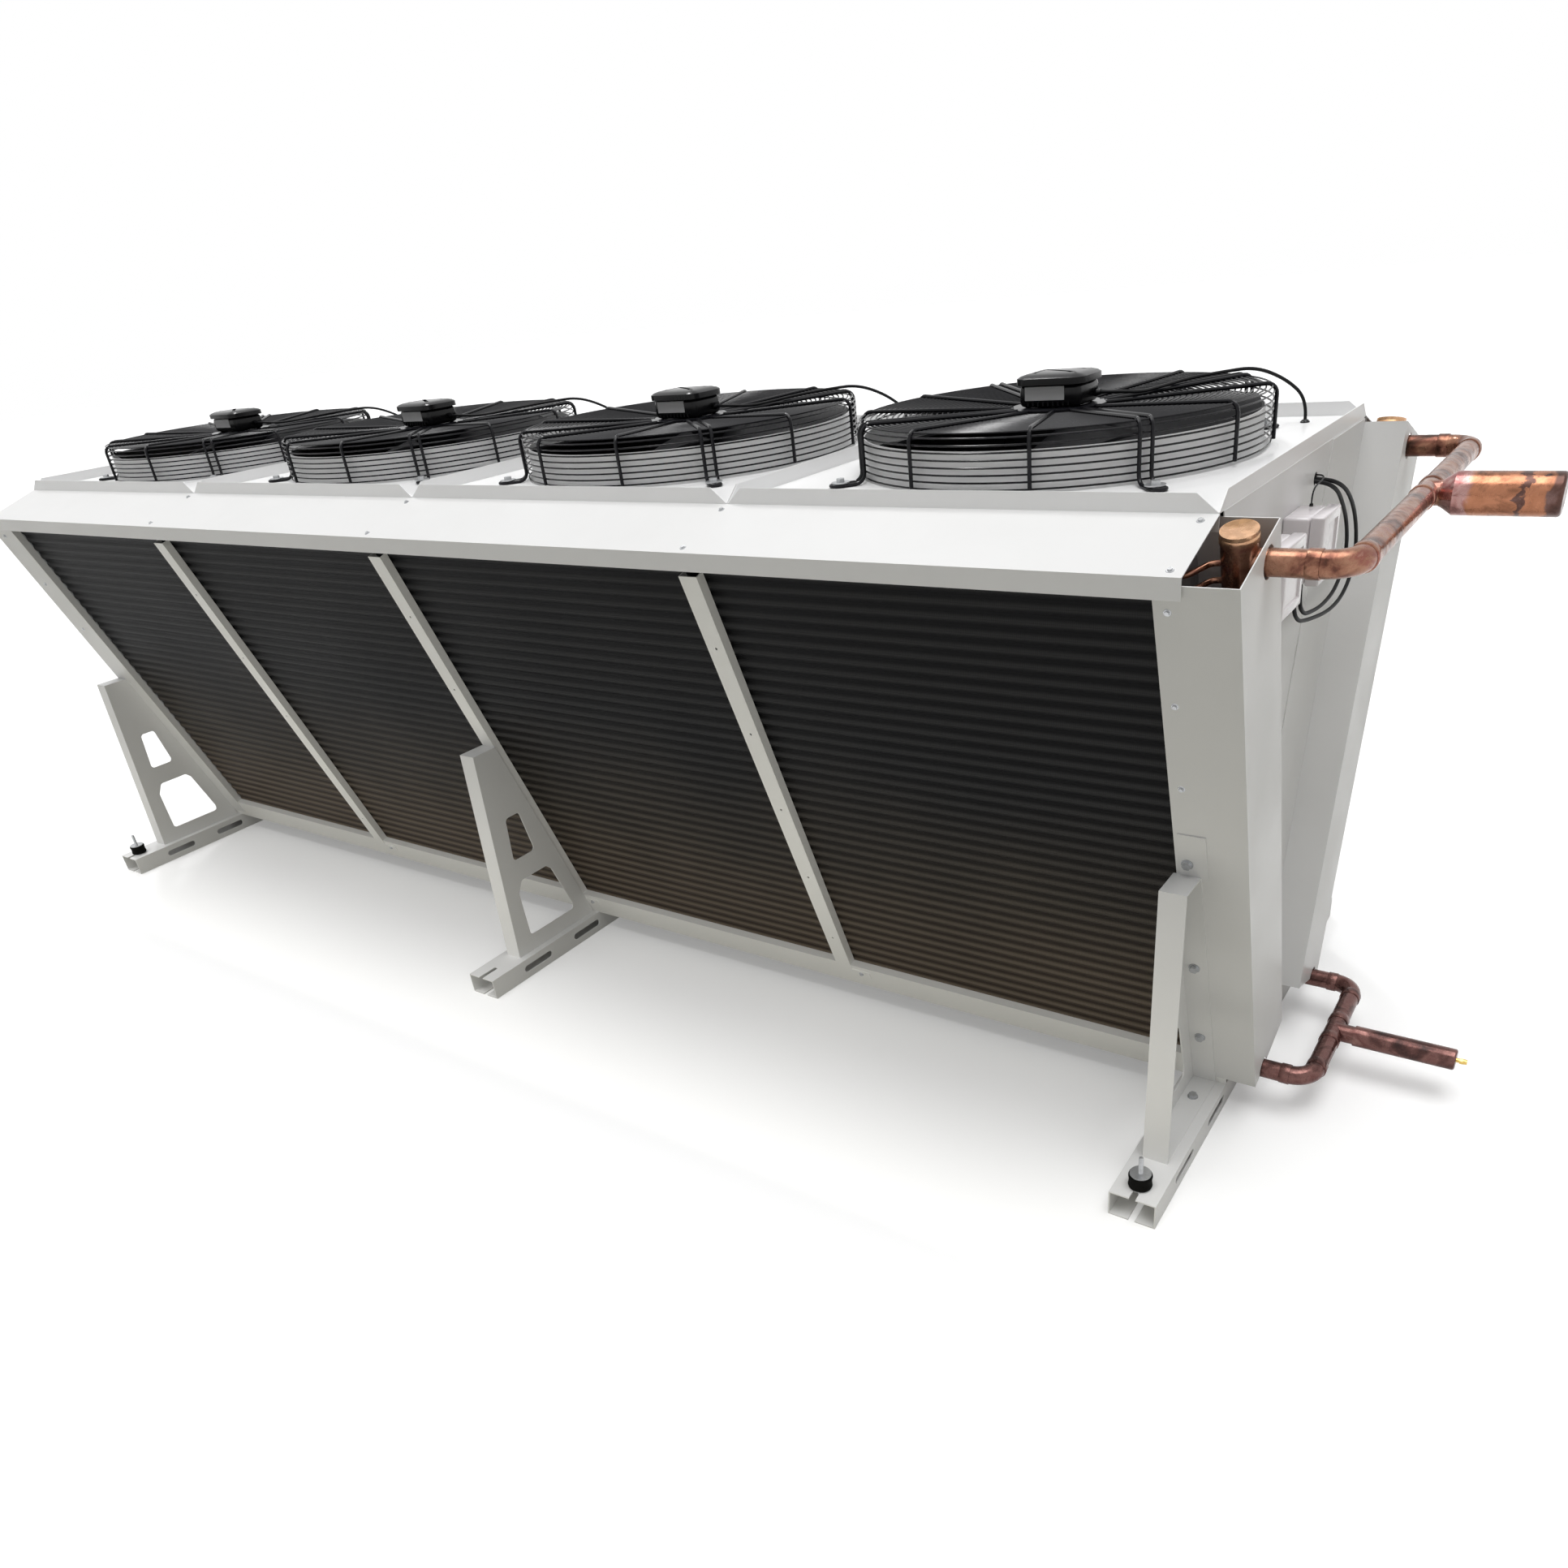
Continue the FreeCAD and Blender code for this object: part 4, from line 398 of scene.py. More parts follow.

# %% [markdown]
# ## Black fins with a painted warm cast near the floor
# Thousands of thin coated fins stand on edge across the row, and their edges bulge over
# each tube. The bulges are in the solid. The material paints a highlight on the upper slope of
# every bulge, where bare fin edges catch the light, and adds the fine upright lines of the fins
# and a painted brown reflection of the floor on the lower rows. A point's way up the slope comes
# from its height and its distance from the middle, so one material fits both coils.

# %% Way up the slope of a coil, from Object coordinates
TILT, BANK_FOOT = math.radians(18.5), 0.23595
TUBE_PITCH, FIRST_ROW = 0.031, 0.1335
slope_group, start, end = new_group("way_up_slope", [("Position", VECTOR, None)], [("Up", FLOAT)])
split = add_node(slope_group, "SeparateXYZ")
wire(slope_group, start.outputs["Position"], split.inputs["Vector"])
aside = calculate(slope_group, "ABSOLUTE", split.outputs["Y"])
from_foot = calculate(slope_group, "SUBTRACT", aside, BANK_FOOT)
rise = calculate(slope_group, "MULTIPLY", split.outputs["Z"], math.cos(TILT))
total = calculate(slope_group, "MULTIPLY_ADD", from_foot, math.sin(TILT), rise)
wire(slope_group, total, end.inputs["Up"])
print("group", slope_group.name)

# %% Fin pack material
# Tones from the foot of the bank to its top, with a painted warm floor reflection at the foot, the
# painted highlight tones, and the share of each row's crest that gets the painted highlight
FIN_TONES_WITH_BOUNCE = [(0.0, (0.05, 0.037, 0.028)), (0.45, (0.02, 0.0165, 0.0135)),
             (1.0, (0.004, 0.004, 0.0045))]
HIGHLIGHT_TONES = [(0.0, (0.19, 0.155, 0.12)), (0.45, (0.105, 0.092, 0.078)),
               (1.0, (0.055, 0.055, 0.057))]
HIGHLIGHT_ROW_MASK = [(0.36, (0, 0, 0)), (0.52, (0.5, 0.5, 0.5)), (0.68, (1, 1, 1)),
              (0.8, (0.5, 0.5, 0.5)), (0.9, (0, 0, 0))]
FIN_LINES = 125.0
finishes["black_fins"], tree, shader = new_material("black_fins")
shader.inputs["Specular IOR Level"].default_value = 0.07
where = add_node(tree, "TexCoord")
slope = add_node(tree, "Group", node_tree=slope_group)
wire(tree, where.outputs["Object"], slope.inputs["Position"])
row = calculate(tree, "MULTIPLY_ADD", slope.outputs["Up"], 1 / TUBE_PITCH,
                0.5 - FIRST_ROW / TUBE_PITCH)
phase = calculate(tree, "FRACT", row)
lines = add_node(tree, "TexWave", {"Scale": FIN_LINES, "Distortion": 0.4}, wave_type="BANDS",
                 bands_direction="X")
wire(tree, where.outputs["Object"], lines.inputs["Vector"])
patches = add_node(tree, "TexNoise", {"Scale": 2.2, "Detail": 6.0})
wire(tree, where.outputs["Object"], patches.inputs["Vector"])
wobble = calculate(tree, "MULTIPLY_ADD", patches.outputs["Fac"], 0.35, slope.outputs["Up"])
height = step_mask(tree, wobble, 0.3, 1.1)
# Base tone: black fins, with a painted brown floor reflection towards the foot
shade = tone_ramp(tree, height, FIN_TONES_WITH_BOUNCE)
# crest holds the painted highlight tone, brighter and warmer near the foot
crest = tone_ramp(tree, height, HIGHLIGHT_TONES)
# Painted highlight on the upper slope of each tube row
on_painted_highlight = tone_ramp(tree, phase, HIGHLIGHT_ROW_MASK)
colour = blend(tree, shade, crest, on_painted_highlight)
veil = add_node(tree, "Mix", {"Factor": 0.35}, data_type="RGBA", blend_type="MULTIPLY")
wire(tree, colour, veil.inputs["A"])
wire(tree, lines.outputs["Color"], veil.inputs["B"])
wire(tree, veil.outputs["Result"], shader.inputs["Base Color"])
gloss = add_node(tree, "MapRange", {"To Min": 0.42, "To Max": 0.62})
wire(tree, patches.outputs["Fac"], gloss.inputs["Value"])
wire(tree, gloss.outputs["Result"], shader.inputs["Roughness"])
print("fin pack material ready")

# %% [markdown]
# ## Dressing the imported solids
# Each node names a material slot in the record. The slot gives it its finish here, so a node
# can't be forgotten and sheet parts that belong together match. The deck and fan collars, the
# sills and the straps get brighter copies of the sheet, which paint in the light they get.

# %% Give each node the finish of its slot
slot_of = {part["node"]: part["material_slot"] for part in frame["record"]["subparts"]}
# Brighter copies of the same sheet paint the light that falls on these parts
PAINTED_LIGHT_SHEETS = {"fan_panel": "painted_light_deck_sheet", "sill": "painted_light_trim_sheet", "coil_straps": "painted_light_trim_sheet"}
for name, node in nodes.items():
    own = [finish for prefix, finish in PAINTED_LIGHT_SHEETS.items() if name.startswith(prefix)]
    node.data.materials.clear()
    node.data.materials.append(finishes[own[0] if own else slot_of[name]])
dressed = list(slot_of.values())
print({slot: dressed.count(slot) for slot in sorted(set(dressed))})

# %% [markdown]
# ## Cables
# Two supply leads come out of the hole in the end panel, hang in a loop and go up into the
# junction boxes, and a thin lead drops into the top of the nearer box. Each fan's cable leaves its
# terminal box, lies over the guard's rim and goes down into the deck. A cable is a smooth
# spline through a few control points, with a round section of its real thickness.

# %% Routes of the seven cables
HOLE = Vector((2.0, 0.098, 1.301))
BOX_X, BOX_FOOT, BOX_TOP = 2.025, 1.15, 1.275
DECK = 1.36
# Points in millimetres: the leads' from the hole, a fan's from its axis at the deck
LEAD_A = [(-50, -8, -1), (8, -7, -2), (36, 24, -20), (38, 90, -66), (37, 146, -112),
          (36, 180, -168), (34, 170, -218), (33, 122, -246), (32, 62, -253), (31, 4, -252),
          (29, -51, -246), (27, -104, -237)]
LEAD_B = [(-50, 5.5, 1), (14, 7, 0), (44, 43, -18), (50, 112, -62), (50, 172, -116),
          (49, 209, -178), (47, 199, -232), (45, 150, -262), (43, 84, -270), (39, 22, -268),
          (34, -36, -261), (30, -92, -252), (27, -144, -240)]
THIN_LEAD = [(-40, 0, 8), (8, -2, 9), (24, -32, 10), (27, -68, 9), (26, -104, 7), (25, -120, -4)]
FAN_RUN = [(84.3, 20, 121), (120, 20, 121), (152, 56, 114), (166, 116, 114), (199, 211, 119),
           (253, 266, 122.5), (305, 318, 124), (356.5, 371.5, 92), (393, 410, 47),
           (393, 410, 6.3)]


def from_hole(run, *ends):
    """Points of a run measured in millimetres from the hole, with its last points."""
    return [HOLE + Vector(p) / 1000 for p in run] + [Vector(p) for p in ends]


def lay_cable(name, points, radius, length, node):
    """Smooth cable through its control points, whose real length is printed."""
    curve = bpy.data.curves.new(name, "CURVE")
    curve.dimensions = "3D"
    curve.bevel_depth = radius
    curve.bevel_resolution = 4
    curve.resolution_u = 10
    curve.use_fill_caps = True
    line = curve.splines.new("NURBS")
    line.points.add(len(points) - 1)
    for point, spot in zip(line.points, points):
        point.co = (*spot, 1)
    line.order_u = 3
    line.use_endpoint_u = True
    curve.materials.append(finishes["cable_rubber"])
    cable = add_object(name, curve)
    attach(cable, "frame")
    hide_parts(node)
    print(name, "is", length, "m long")


# %% Leads at the end panel and a cable at each fan
BELOW, MOUTH = BOX_FOOT - 0.056, BOX_FOOT - 0.0143
route = from_hole(LEAD_A, (BOX_X, -0.041, BELOW), (BOX_X, -0.041, MOUTH))
lay_cable("supply_lead_a", route, 0.004, 0.73, "supply_cables")
route = from_hole(LEAD_B, (BOX_X, -0.083, BELOW), (BOX_X, -0.083, MOUTH))
lay_cable("supply_lead_b", route, 0.004, 0.836, "supply_cables")
route = from_hole(THIN_LEAD, (BOX_X, -0.022, BOX_TOP + 0.0043))
lay_cable("thin_lead", route, 0.0015, 0.186, "supply_cables")
for number in (1, 2, 3, 4):
    middle = Vector((number - 2.5, 0, DECK))
    route = [middle + Vector(p) / 1000 for p in FAN_RUN]
    lay_cable(f"fan_cable_{number}", route, 0.0035, 0.581, "fan_conduits")

# %% [markdown]
# ## Wire guards
# A guard is a basket of black coated wire: close rings stacked round the fan ring and
# across a shallow cone on top, held by rods that run from a hub plate over the rim and
# down the side. A ring is a small circle spun round the fan's axis, and a rod is a curve
# with a round section, which follows its bends more evenly than an extruded mesh would.

# %% Sizes of one guard, and the fans' places
fan_boxes = [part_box(f"impeller_{number}") for number in (1, 2, 3, 4)]
fan_x = [round((low.x + high.x) / 2, 3) for low, high in fan_boxes]
GUARD_R, CROWN_R, HUB_HOLE_R = 0.422, 0.098, 0.062
RIM_Z, FOOT_Z, CROWN_Z = DECK + 0.115, DECK + 0.012, DECK + 0.101
WIRE_R, ROD_R = 0.0018, 0.004
SIDE_RINGS, TOP_RING_STEP = 8, 0.0115
PLATE_HALF, PLATE_SIDES = 0.002, 48
print("fans at", fan_x)


def spin_round(bm, geometry, steps):
    """Spin some vertices and edges a full turn round the Z axis, and join the ends."""
    bmesh.ops.spin(bm, geom=geometry, cent=(0, 0, 0), axis=(0, 0, 1), angle=math.tau,
                   steps=steps, use_merge=True, use_duplicate=False)


def spin_ring(bm, radius, height, steps=72):
    """Wire ring: a small circle on edge, spun a full turn round the Z axis."""
    made = bmesh.ops.create_circle(bm, cap_ends=False, segments=6, radius=WIRE_R)
    place(bm, made["verts"], shift(radius, 0, height) @ Matrix.Rotation(math.pi / 2, 4, "X"))
    spin_round(bm, made["verts"] + edges_of(made["verts"]), steps)


# %% Rods as round-section curves turned into mesh
def rounded_path(points, radii, steps=5):
    """The same corners with an arc at each inner one, as a list of points."""
    points = [Vector(p) for p in points]
    path = [points[0]]
    for before, corner, after, radius in zip(points, points[1:], points[2:], radii):
        back, ahead = (before - corner).normalized(), (after - corner).normalized()
        half = back.angle(ahead) / 2
        shorter = min((before - corner).length, (after - corner).length)
        trim = min(radius / math.tan(half), 0.48 * shorter)
        inward = (back + ahead).normalized()
        centre = corner + inward * (trim / math.cos(half))
        first = corner + back * trim - centre
        sweep = first.rotation_difference(corner + ahead * trim - centre)
        path += [centre + Quaternion(sweep.axis, sweep.angle * i / steps) @ first
                 for i in range(steps + 1)]
    return path + [points[-1]]


def add_rods(bm, paths, radius):
    """Add round rods along some paths to a bmesh."""
    curve = bpy.data.curves.new("rods", "CURVE")
    curve.dimensions = "3D"
    curve.bevel_depth = radius
    curve.bevel_resolution = 2
    curve.use_fill_caps = True
    for path in paths:
        line = curve.splines.new("POLY")
        line.points.add(len(path) - 1)
        for point, spot in zip(line.points, path):
            point.co = (*spot, 1)
    carrier = bpy.data.objects.new("rods", curve)
    mesh = bpy.data.meshes.new_from_object(carrier)
    bm.from_mesh(mesh)
    bpy.data.objects.remove(carrier)
    bpy.data.curves.remove(curve)
    bpy.data.meshes.remove(mesh)


def crown_height(radius):
    """Height of the guard's top at a radius."""
    return RIM_Z + (GUARD_R - radius) / (GUARD_R - CROWN_R) * (CROWN_Z - RIM_Z)


# %% Paths of the eight rods and the four foot loops
ROD_LEAN, BEND, HUB_END = 17, 0.02, CROWN_R - 0.004
FOOT_SPOT, FOOT_HALF, FOOT_TIP = 0.332, 0.012, 0.022
foot_reach = FOOT_SPOT * math.sqrt(2) + FOOT_TIP
lying_z = DECK + ROD_R + 0.00015
hub_z = crown_height(HUB_END)
rod_paths = []
for quarter in (0, 90, 180, 270):
    for side in (-ROD_LEAN, ROD_LEAN):
        turn = Matrix.Rotation(math.radians(quarter + side), 4, "Z")
        corner = [(HUB_END, 0, hub_z), (GUARD_R, 0, RIM_Z), (GUARD_R, 0, FOOT_Z)]
        rod_paths.append([turn @ p for p in rounded_path(corner, [BEND])])
    turn = Matrix.Rotation(math.radians(quarter + 45), 4, "Z")
    run = [(HUB_END, hub_z), (GUARD_R, RIM_Z), (GUARD_R, lying_z), (foot_reach, lying_z)]
    loop = [(r, FOOT_HALF, z) for r, z in run] + [(r, -FOOT_HALF, z) for r, z in reversed(run)]
    tight = 0.8 * FOOT_HALF
    rod_paths.append([turn @ p for p in rounded_path(loop, [BEND, BEND, tight, tight, BEND, BEND])])
print(len(rod_paths), "rods in each guard")


# %% One guard, copied to the four fans
def add_hub_plate(bm):
    """Flat ring that carries the rods' inner ends."""
    edges = []
    for radius in (CROWN_R, HUB_HOLE_R):
        circle = bmesh.ops.create_circle(bm, cap_ends=False, segments=PLATE_SIDES, radius=radius)
        place(bm, circle["verts"], shift(z=CROWN_Z - PLATE_HALF))
        edges += edges_of(circle["verts"])
    flat = bmesh.ops.bridge_loops(bm, edges=edges)
    lifted = bmesh.ops.extrude_face_region(bm, geom=flat["faces"])["geom"]
    upper = [item for item in lifted if isinstance(item, bmesh.types.BMVert)]
    place(bm, upper, shift(z=2 * PLATE_HALF))


def guard_mesh():
    """Rings, rods and hub plate of one guard, centred on the fan's axis."""
    bm = bmesh.new()
    for i in range(SIDE_RINGS):
        height = FOOT_Z + (RIM_Z - FOOT_Z) * i / SIDE_RINGS
        spin_ring(bm, GUARD_R - ROD_R - WIRE_R * 0.4, height)
    radius = GUARD_R - 0.009
    while radius > CROWN_R + 0.004:
        spin_ring(bm, radius, crown_height(radius) - ROD_R, steps=60 if radius > 0.2 else 40)
        radius -= TOP_RING_STEP
    add_rods(bm, rod_paths, ROD_R)
    add_hub_plate(bm)
    face_outward(bm)
    return bm


pattern = guard_mesh()
for number, x in enumerate(fan_x, 1):
    bm = pattern.copy()
    place(bm, bm.verts, shift(x))
    guard = finish_piece(bm, f"guard_wires_{number}", finishes["black_wire"])
    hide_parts(f"fan_guard_{number}")

# %% [markdown]
# ## Terminal boxes
# Each motor carries a moulded black box with a wide, softly domed lid, four lid screws, a
# gland for its cable and a plain plate in front. A cube with bevelled corners makes the
# box, and the lid is a bevelled slab whose top is inset and lifted to dome it.

# %% Box, lid and screws of one terminal box
TERMINAL_FOOT = DECK + 0.103
BODY_HALF_X, BODY_HALF_Y, BODY_HEIGHT = 0.067, 0.052, 0.044
LID_SIZE, LID_TOP = (0.15, 0.122, 0.012), TERMINAL_FOOT + 0.055
DOME_STEPS = ((0.004, 0.007), (0.003, 0.012), (0.0012, 0.018))
SCREW_X, SCREW_Y, RIBS, RIB_STEP = 0.056, 0.042, 9, 0.011


def terminal_box(bm, x):
    """Body with a row of ribs in front, and a domed lid with its screws."""
    add_block(bm, (x - BODY_HALF_X, -BODY_HALF_Y, TERMINAL_FOOT),
              (x + BODY_HALF_X, BODY_HALF_Y, TERMINAL_FOOT + BODY_HEIGHT), 0.012, 3)
    lid = add_cube(bm, (x, 0, LID_TOP - LID_SIZE[2] / 2), LID_SIZE)
    uprights = [e for e in edges_of(lid) if abs(e.verts[0].co.z - e.verts[1].co.z) > 0.005]
    soften(bm, uprights, 0.026, 4)
    top = [f for f in bm.faces
           if f.normal.z > 0.9 and abs(f.calc_center_median().z - LID_TOP) < 0.001]
    for lift, width in DOME_STEPS:
        bmesh.ops.inset_region(bm, faces=top, thickness=width, use_even_offset=True)
        place(bm, list(dict.fromkeys(v for f in top for v in f.verts)), shift(z=lift))
    for side_x in (-1, 1):
        for side_y in (-1, 1):
            spot = shift(x + side_x * SCREW_X, side_y * SCREW_Y, LID_TOP)
            add_disc(bm, spot, 0.006, 0.004, 16, 0.0052)
    for i in range(RIBS):
        rib = x + (i - (RIBS - 1) / 2) * RIB_STEP
        add_block(bm, (rib - 0.0015, -0.0555, TERMINAL_FOOT + 0.004),
                  (rib + 0.0015, -0.051, TERMINAL_FOOT + 0.011))


bm = bmesh.new()
for x in fan_x:
    terminal_box(bm, x)
face_outward(bm)
boxes = finish_piece(bm, "terminal_boxes_moulded", finishes["black_plastic"])
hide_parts("terminal_boxes", "terminal_lids")

# %% Plain plate on the front of each terminal box
PLATE_BACK, PLATE_FRONT = -0.0515, -0.0532
bm = bmesh.new()
for x in fan_x:
    add_block(bm, (x - 0.052, PLATE_FRONT, DECK + 0.117), (x + 0.034, PLATE_BACK, DECK + 0.143),
              0.0005, 1)
finish_piece(bm, "terminal_plates", finishes["bare_plate"])

# %% [markdown]
# ## Junction boxes on the end panel
# The two isolator boxes have a pale, glossy lid over a base of their own, with a stepped rim
# and a screw in each corner. Insetting the lid's face and pressing it back gives the
# raised frame that the mould leaves.

# %% Two junction boxes
LID_FACE, LID_SEAM, BOX_BACK = 2.075, 2.05, 2.0
SCREW_INSET = 0.009


def junction_box(bm, y_low, y_high):
    """Base and lid between two places across the end panel."""
    add_block(bm, (BOX_BACK, y_low + 0.002, BOX_FOOT + 0.002),
              (LID_SEAM, y_high - 0.002, BOX_TOP - 0.002), 0.006, 3)
    middle = ((LID_FACE + LID_SEAM) / 2, (y_low + y_high) / 2, (BOX_FOOT + BOX_TOP) / 2)
    lid = add_cube(bm, middle, (LID_FACE - LID_SEAM, y_high - y_low, BOX_TOP - BOX_FOOT))
    soften(bm, edges_of(lid), 0.004, 3)
    front = [f for f in bm.faces
             if f.normal.x > 0.99 and abs(f.calc_center_median().x - LID_FACE) < 1e-4
             and y_low < f.calc_center_median().y < y_high]
    bmesh.ops.inset_region(bm, faces=front, thickness=0.014, use_even_offset=True)
    bmesh.ops.inset_region(bm, faces=front, thickness=0.0015, depth=-0.003, use_even_offset=True)
    for y in (y_low + SCREW_INSET, y_high - SCREW_INSET):
        for z in (BOX_FOOT + SCREW_INSET, BOX_TOP - SCREW_INSET):
            add_disc(bm, along((LID_FACE - 0.004, y, z), (1, 0, 0)), 0.0055, 0.0035, 16)


bm = bmesh.new()
junction_box(bm, -0.365, -0.241)
junction_box(bm, -0.124, 0.0)
face_outward(bm)
boxes = finish_piece(bm, "junction_boxes", finishes["pale_plastic"])
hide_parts("isolator_boxes", "isolator_lids")

# %% [markdown]
# ## Screw heads on their washers
# The sheet is held by self-drilling screws with a hexagon on a flange. Their places are
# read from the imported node: its loose islands are found after merging, and the head looks
# outward along the normal of each island's largest face.

# %% Find each screw's place and direction
def islands(node):
    """Centre and outward axis of each separate solid in a node."""
    bm = bmesh.new()
    bm.from_mesh(node.data)
    bmesh.ops.remove_doubles(bm, verts=bm.verts, dist=1e-6)
    seen, found = set(), []
    for first in bm.verts:
        if first in seen:
            continue
        seen.add(first)
        group = [first]
        for vert in group:
            others = [edge.other_vert(vert) for edge in vert.link_edges]
            others = [other for other in others if other not in seen]
            seen.update(others)
            group += others
        sums = {}
        for face in dict.fromkeys(f for v in group for f in v.link_faces):
            key = tuple(round(c, 2) for c in face.normal)
            sums[key] = sums.get(key, 0) + face.calc_area()
        axis = Vector(max(sums, key=sums.get)).normalized()
        centre = sum((v.co for v in group), Vector()) / len(group)
        if axis.dot(Vector((0, math.copysign(1, centre.y), 0.5))) < 0:
            axis.negate()
        found.append((centre, axis))
    bm.free()
    return found


screw_spots = islands(nodes["panel_screws"])
print(len(screw_spots), "screws")

# %% Hexagon screws with flanged heads
bm = bmesh.new()
for centre, axis in screw_spots:
    seat = along(centre - axis * 0.002, axis)
    add_disc(bm, seat, 0.0068, 0.0012, 20, 0.006)
    add_disc(bm, seat @ shift(z=0.001), 0.0044, 0.003, 6, 0.0041)
face_outward(bm)
screws = finish_piece(bm, "sheet_screws", finishes["zinc_steel"])
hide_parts("panel_screws")

# %% [markdown]
# ## Pipe sockets
# Bends and tees are fittings brazed on to straight pipe, so a slightly wider socket shows
# at each end of them. Each socket is a short cylinder with bevelled rims, set along the
# pipe it belongs to.

# %% Sockets along the two manifolds
ALONG_X, ALONG_Y = Vector((1, 0, 0)), Vector((0, 1, 0))
GAS_X, GAS_Z, GAS_R, TEE_Y = 2.215, 1.292, 0.022, 0.02
LIQUID_X, LIQUID_Z, LIQUID_R = 2.19, 0.097, 0.021
# X, Z and radius of a line, y of its bends and their reach, y of its tee and its half width
LINES = [(GAS_X, GAS_Z, GAS_R, 0.524, 0.058, TEE_Y, 0.045),
         (LIQUID_X, LIQUID_Z, LIQUID_R, 0.208, 0.053, 0.0, 0.042)]
SOCKET_LENGTH, SOCKET_WALL = 0.022, 0.0018
sockets = [((GAS_X + 0.034, TEE_Y, GAS_Z), ALONG_X, GAS_R)]
for x, z, radius, bend_y, reach, tee_y, tee_half in LINES:
    for sign in (-1, 1):
        sockets += [((x - reach, sign * bend_y, z), ALONG_X, radius),
                    ((x, sign * (bend_y - reach), z), ALONG_Y, radius),
                    ((x, tee_y + sign * tee_half, z), ALONG_Y, radius)]
bm = bmesh.new()
for centre, axis, radius in sockets:
    foot = along(Vector(centre) - axis * SOCKET_LENGTH / 2, axis)
    verts = add_disc(bm, foot, radius + SOCKET_WALL, SOCKET_LENGTH, 40)
    rims = [e for e in edges_of(verts)
            if abs((e.verts[0].co - e.verts[1].co).dot(axis)) < 1e-6]
    soften(bm, rims, 0.0012, 2)
face_outward(bm)
finish_piece(bm, "pipe_sockets", finishes["copper_pipe"])

# %% [markdown]
# ## Rubber vibration mounts
# A rubber puck is bonded between two steel discs, each with a threaded stud. Its waist is
# a profile of a few points spun round the stud's axis, which gives the soft barrel shape
# that a plain cylinder lacks.

# %% Rubber pucks from one spun profile
def spin_profile(bm, profile, matrix, steps=32):
    """Closed solid of revolution from a profile of radius and height pairs."""
    older = set(bm.verts)
    verts = [bm.verts.new((r, 0, z)) for r, z in profile]
    edges = [bm.edges.new(pair) for pair in zip(verts, verts[1:])]
    spin_round(bm, verts + edges, steps)
    fresh = [v for v in bm.verts if v not in older]
    bmesh.ops.remove_doubles(bm, verts=fresh, dist=1e-6)
    place(bm, [v for v in fresh if v.is_valid], matrix)


MOUNT_PLACES = [(-2.004, -0.655), (1.972, -0.655)]
PUCK = [(0, 0.0625), (0.0235, 0.0625), (0.0248, 0.066), (0.0238, 0.072), (0.0232, 0.0775),
        (0.0238, 0.083), (0.0248, 0.089), (0.0235, 0.0925), (0, 0.0925)]
bm = bmesh.new()
for x, y in MOUNT_PLACES:
    spin_profile(bm, PUCK, shift(x, y), 48)
face_outward(bm)
rubber = finish_piece(bm, "rubber_pucks", finishes["buffer_rubber"])
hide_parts("mount_buffers")

# %% Lower stud with its nut, upper disc with its threaded stud
LOWER = [(0, 0.03), (0.0042, 0.03), (0.005, 0.031), (0.005, 0.052), (0.0098, 0.052),
         (0.0098, 0.057), (0.005, 0.057), (0.005, 0.06), (0.022, 0.06), (0.022, 0.0625),
         (0.0, 0.0625)]
THREADS, THREAD_FOOT, THREAD_PITCH = 20, 0.0955, 0.0019
upper = [(0.0, 0.0925), (0.022, 0.0925), (0.022, 0.095), (0.005, 0.095)]
for i in range(THREADS):
    crest = THREAD_FOOT + i * THREAD_PITCH
    upper += [(0.0049, crest), (0.0043, crest + 0.0009)]
upper += [(0.0046, 0.1345), (0.004, 0.1348), (0.0, 0.1348)]
bm = bmesh.new()
for x, y in MOUNT_PLACES:
    for profile in (LOWER, upper):
        spin_profile(bm, profile, shift(x, y))
face_outward(bm)
studs = finish_piece(bm, "mount_studs_threaded", finishes["zinc_steel"])
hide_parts("mount_studs")

# %% [markdown]
# ## Service valve
# The liquid stub ends in a small brass access valve: a stem, a hexagon and a knurled cap.
# It is a stack of cones along the pipe, with a many-sided cap whose flutes read as knurling.

# %% Valve at the tip of the liquid stub
# Start, length, foot radius, top radius and sides of the stem, the hexagon and the cap
VALVE_PARTS = [(0, 0.0075, 0.005, 0.005, 24), (0.007, 0.006, 0.0072, 0.0072, 6),
               (0.013, 0.0085, 0.0062, 0.0055, 18)]
bm = bmesh.new()
tip = along((2.448, 0, LIQUID_Z), ALONG_X)
for start_z, length, radius, top, sides in VALVE_PARTS:
    add_disc(bm, tip @ shift(z=start_z), radius, length, sides, top)
valve = finish_piece(bm, "valve_brass", finishes["brass_fitting"], sharp_angle=20)
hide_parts("service_valve")

# %% [markdown]
# ## Cable glands and deck grommets
# Each lead enters its box through a gland with a hexagon body and a domed nut, and each
# fan's cable goes down through a grommet with a raised lip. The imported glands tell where
# they stand, and their height tells which kind they are.

# %% Glands on the boxes, grommets on the deck
GROMMET = [(0.0, 0.0), (0.01, 0.0), (0.01, 0.0022), (0.0085, 0.003), (0.0062, 0.0058),
           (0.0, 0.0058)]


def gland(bm, foot, radius, nut_foot, nut_height, nut_top):
    """Hexagon body with a domed nut on it."""
    add_disc(bm, foot, radius, 0.006, 6)
    add_disc(bm, foot @ shift(z=0.006), nut_foot, nut_height, 24, nut_top)


